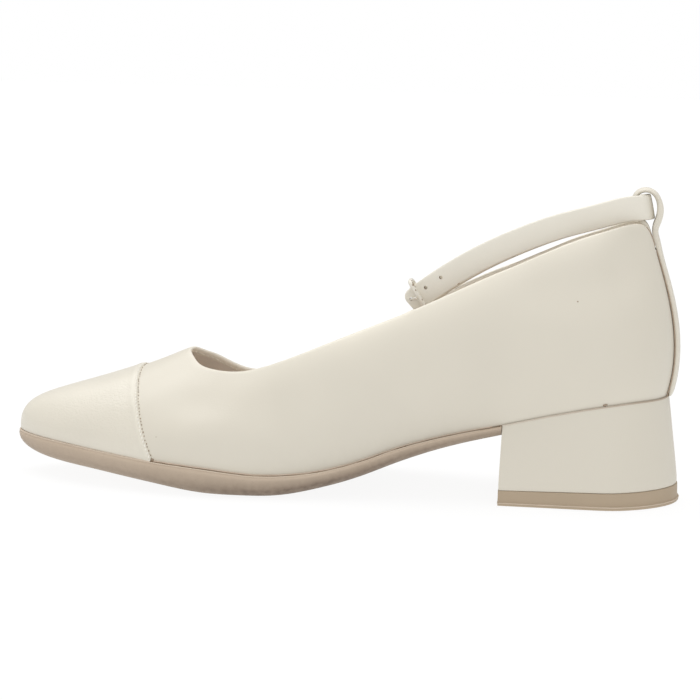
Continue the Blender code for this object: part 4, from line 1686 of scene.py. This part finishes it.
    def hole_places(self, stations: Sequence[Station]) -> list[Hole]:
        """Finds the holes along the strap.

        Args:
            stations: Places on the strap.

        Returns:
            The holes.
        """
        reach = [stop.reach for stop in stations]
        found = []
        for number in range(self.holes):
            mark = self.first_hole + number * self.hole_pitch
            k = int(np.searchsorted(reach, mark)) - 1
            stop, after = stations[k], stations[k + 1]
            share = (mark - stop.reach) / (after.reach - stop.reach)
            centre = stop.point.lerp(after.point, share) + stop.up * self.hole_rise
            found.append(Hole(centre, stop.up, stop.side))
        return found

    def is_hole_wall(self, face: Face, holes: Sequence[Hole]) -> bool:
        """Tells whether a face lies in a hole.

        Args:
            face: Face of the strap.
            holes: The holes.

        Returns:
            Whether it is part of a hole's wall.
        """
        spot = face.calc_center_median() / MM
        for hole in holes:
            away = spot - hole.centre
            radius = (away - hole.axis * away.dot(hole.axis)).length
            inside = away.length < self.wall and radius < self.hole + self.hole_slack
            if inside and abs(face.normal.dot(hole.axis)) < self.hole_facing:
                return True
        return False

    def cutters(self, holes: Sequence[Hole], up: Vector, bar: Vector) -> list[bpy.types.Object]:
        """Makes the tools for the holes and for the prong's slot.

        Args:
            holes: The holes.
            up: Width direction at the fold.
            bar: Middle of the fold's bar.

        Returns:
            The tools.
        """
        tools = []
        for number, hole in enumerate(holes):
            tool = bmesh.new()
            turned = axes(hole.centre * MM, hole.across, hole.axis.cross(hole.across), hole.axis)
            bmesh.ops.create_cone(
                tool, cap_ends=True, segments=self.hole_sides, radius1=self.hole * MM,
                radius2=self.hole * MM, depth=self.hole_depth * MM, matrix=turned,
            )
            name = f"hole_{number}"
            tools.append(linked(name, mesh_of(tool, name)))
        fore = Vector((-1.0, 0.0, 0.0))
        fore = (fore - up * fore.dot(up)).normalized()
        centre = (bar + fore * (self.slot_length / 2.0) + up * self.slot_rise) * MM
        depth = up.cross(fore) * self.slot_depth
        turned = axes(centre, fore * self.slot_length, depth, up * self.slot_height)
        slot = bmesh.new()
        bmesh.ops.create_cube(slot, size=MM, matrix=turned)
        tools.append(linked("slot", mesh_of(slot, "slot")))
        return tools


@dataclass
class Buckle:
    """Enamelled frame and prong, with the enamel chipped off the outer bar's edge."""

    front: float = 1.7 * MM
    facing: float = 0.35
    chips: int = 26
    chip: Stitch = Stitch(0.8 * MM, 0.42 * MM, 0.16 * MM)
    chip_slant: Span = (0.2, 0.7)
    seed: int = 11
    prong_sharp: float = 60.0
    prong_edge: float = 0.1 * MM

    def build(self) -> None:
        """Makes the frame with its chips and the prong."""
        ring = smoothed(cad_copy("buckle_frame"), FINE)
        ring.verts.index_update()
        near = min(vert.co.y for vert in ring.verts) + self.front
        worn = [vert for vert in ring.verts if vert.co.y < near and self.facing < vert.normal.x]
        draw = random.Random(self.seed)
        marks = bmesh.new()
        for vert in draw.sample(worn, self.chips):
            run = Vector((draw.uniform(*self.chip_slant), 0.0, -1.0)).normalized()
            self.chip.sew(marks, vert.co, run, vert.normal.copy())
        place(ring, "buckle_ring", (ENAMEL,), "buckle_frame", Slot.BUCKLE)
        place(marks, "buckle_chips", (BARE_METAL,))
        prong = cad_copy("buckle_prong")
        soften(prong, self.prong_sharp, self.prong_edge)
        place(smoothed(prong, COARSE), "buckle_pin", (ENAMEL,), "buckle_prong", Slot.PRONG)


@dataclass(frozen=True)
class Mark:
    """A small mark on the leather, in millimetres."""

    near: Place
    run: Place
    length: float
    width: float
    finish: Finish
    height: float = 0.12

    def put(self, name: str, surface: BVHTree) -> None:
        """Puts the mark on a surface.

        Args:
            name: Name of the piece.
            surface: Surface that it lies on.
        """
        spot, normal, _, _ = surface.find_nearest(Vector(self.near) * MM)
        grain = Stitch(self.length * MM, self.width * MM, self.height * MM)
        body = bmesh.new()
        grain.sew(body, spot, Vector(self.run), normal)
        place(body, name, (self.finish,))


MARKS = {
    "pinhole": Mark((86.12, -27.03, 76.12), (1.0, 0.0, 0.0), 0.6, 0.55, PIT),
    "vamp_speck": Mark((-65.81, -35.28, 20.72), (1.0, 0.0, 0.0), 0.45, 0.35, STAIN),
    "seam_notch": Mark((97.7, -27.5, 38.2), (1.0, 0.0, 0.2), 1.9, 0.7, PIT, 1.4),
    "cap_corner": Mark((-67.1, -36.5, 12.0), (0.3, 0.0, 1.0), 1.5, 1.2, PIT, 1.0),
}


@dataclass(frozen=True)
class Lamp:
    """A broad soft light from one side."""

    name: str
    side: Place
    strength: float
    angle: float = 60.0

    def hang(self) -> None:
        """Puts the lamp into the scene."""
        sun = bpy.data.lights.new(self.name, "SUN")
        sun.energy = self.strength
        sun.angle = math.radians(self.angle)
        turn = Vector(self.side).to_track_quat("Z", "Y").to_euler()
        linked(self.name, sun).rotation_euler = turn


LAMPS = (
    Lamp("soft_key", (-0.2, 0.2, 1.0), 1.85),
    Lamp("soft_fill", (0.2, -1.0, 0.5), 0.53),
)


@dataclass
class Studio:
    """Pale floor, soft light and the camera."""

    azimuth: float = 6.5
    distance: float = 0.8
    height: float = 0.163
    target: Place = (-0.0008, 0.0, 0.058)
    roll: float = 1.513
    lens: float = 109.81
    shift: Span = (0.00633, -0.02639)
    floor_size: float = 8.0
    floor_drop: float = 0.0002
    floor_colour: Colour = (0.09, 0.09, 0.09)
    floor_roughness: float = 0.9
    floor_gloss: float = 0.1
    floor_glow: float = 0.905
    ambient: float = 0.56
    ambient_colour: Colour = (1.0, 0.995, 0.985)
    lamps: Sequence[Lamp] = LAMPS

    def build(self) -> None:
        """Makes the floor, the lights and the camera."""
        self.lay_floor()
        self.light()
        self.aim()

    def lay_floor(self) -> None:
        """Lays the floor under the shoe."""
        body = bmesh.new()
        bmesh.ops.create_grid(body, x_segments=1, y_segments=1, size=self.floor_size)
        mesh = mesh_of(body, "floor")
        paint = bpy.data.materials.new("pale_floor")
        paint.use_nodes = True
        looks = {
            "Base Color": (*self.floor_colour, 1.0),
            "Roughness": self.floor_roughness,
            "Specular IOR Level": self.floor_gloss,
            "Emission Color": WHITE,
            "Emission Strength": self.floor_glow,
        }
        NodeSheet(paint.node_tree).fill(paint.node_tree.nodes["Principled BSDF"], looks)
        mesh.materials.append(paint)
        floor = linked("floor", mesh)
        floor.location.z = -self.floor_drop

    def light(self) -> None:
        """Sets an even bright surround and the broad soft lamps."""
        world = bpy.data.worlds.new("studio")
        bpy.context.scene.world = world
        world.use_nodes = True
        sheet = NodeSheet(world.node_tree)
        backdrop = world.node_tree.nodes["Background"]
        sheet.fill(backdrop, {"Color": WHITE, "Strength": 1.0})
        looks = {"Color": (*self.ambient_colour, 1.0), "Strength": self.ambient}
        surround = sheet.add("ShaderNodeBackground", looks)
        seen = sheet.add("ShaderNodeLightPath").outputs["Is Camera Ray"]
        both = {0: seen, 1: surround.outputs[0], 2: backdrop.outputs[0]}
        mix = sheet.add("ShaderNodeMixShader", both)
        sheet.fill(world.node_tree.nodes["World Output"], {"Surface": mix.outputs[0]})
        for lamp in self.lamps:
            lamp.hang()
        bpy.context.scene.view_settings.view_transform = "Standard"

    def aim(self) -> None:
        """Sets the camera at the angle from which the shoe is seen."""
        turn = math.radians(self.azimuth)
        target = Vector(self.target)
        aside = self.distance * math.sin(turn)
        spot = Vector((target.x + aside, -self.distance * math.cos(turn), self.height))
        view = (target - spot).normalized()
        level = view.cross(UP).normalized()
        upright = level.cross(view)
        roll = math.radians(self.roll)
        right = level * math.cos(roll) + upright * math.sin(roll)
        up = upright * math.cos(roll) - level * math.sin(roll)
        data = bpy.data.cameras.new("camera")
        data.lens = self.lens
        data.shift_x, data.shift_y = self.shift
        camera = linked("camera", data)
        camera.matrix_world = axes(spot, right, up, -view)
        bpy.context.scene.camera = camera


def clear_start() -> None:
    """Removes what the start-up file put beside the frame."""
    kept = set(frame["nodes"].values()) | set(frame["bodies"].values())
    for thing in list(bpy.data.objects):
        if thing not in kept:
            bpy.data.objects.remove(thing)


def main() -> None:
    """Builds every piece of the shoe and the studio."""
    logging.basicConfig(level=logging.INFO, format="%(name)s: %(message)s")
    clear_start()
    upper = Upper()
    surface = upper.build()
    ToeCap().build(surface, upper.foot)
    Heel().build()
    Sole().build(upper.foot)
    BackStrip().build(surface)
    Strap().build()
    Buckle().build()
    for name, mark in MARKS.items():
        mark.put(name, surface)
    Studio().build()


if __name__ == "__main__":
    main()
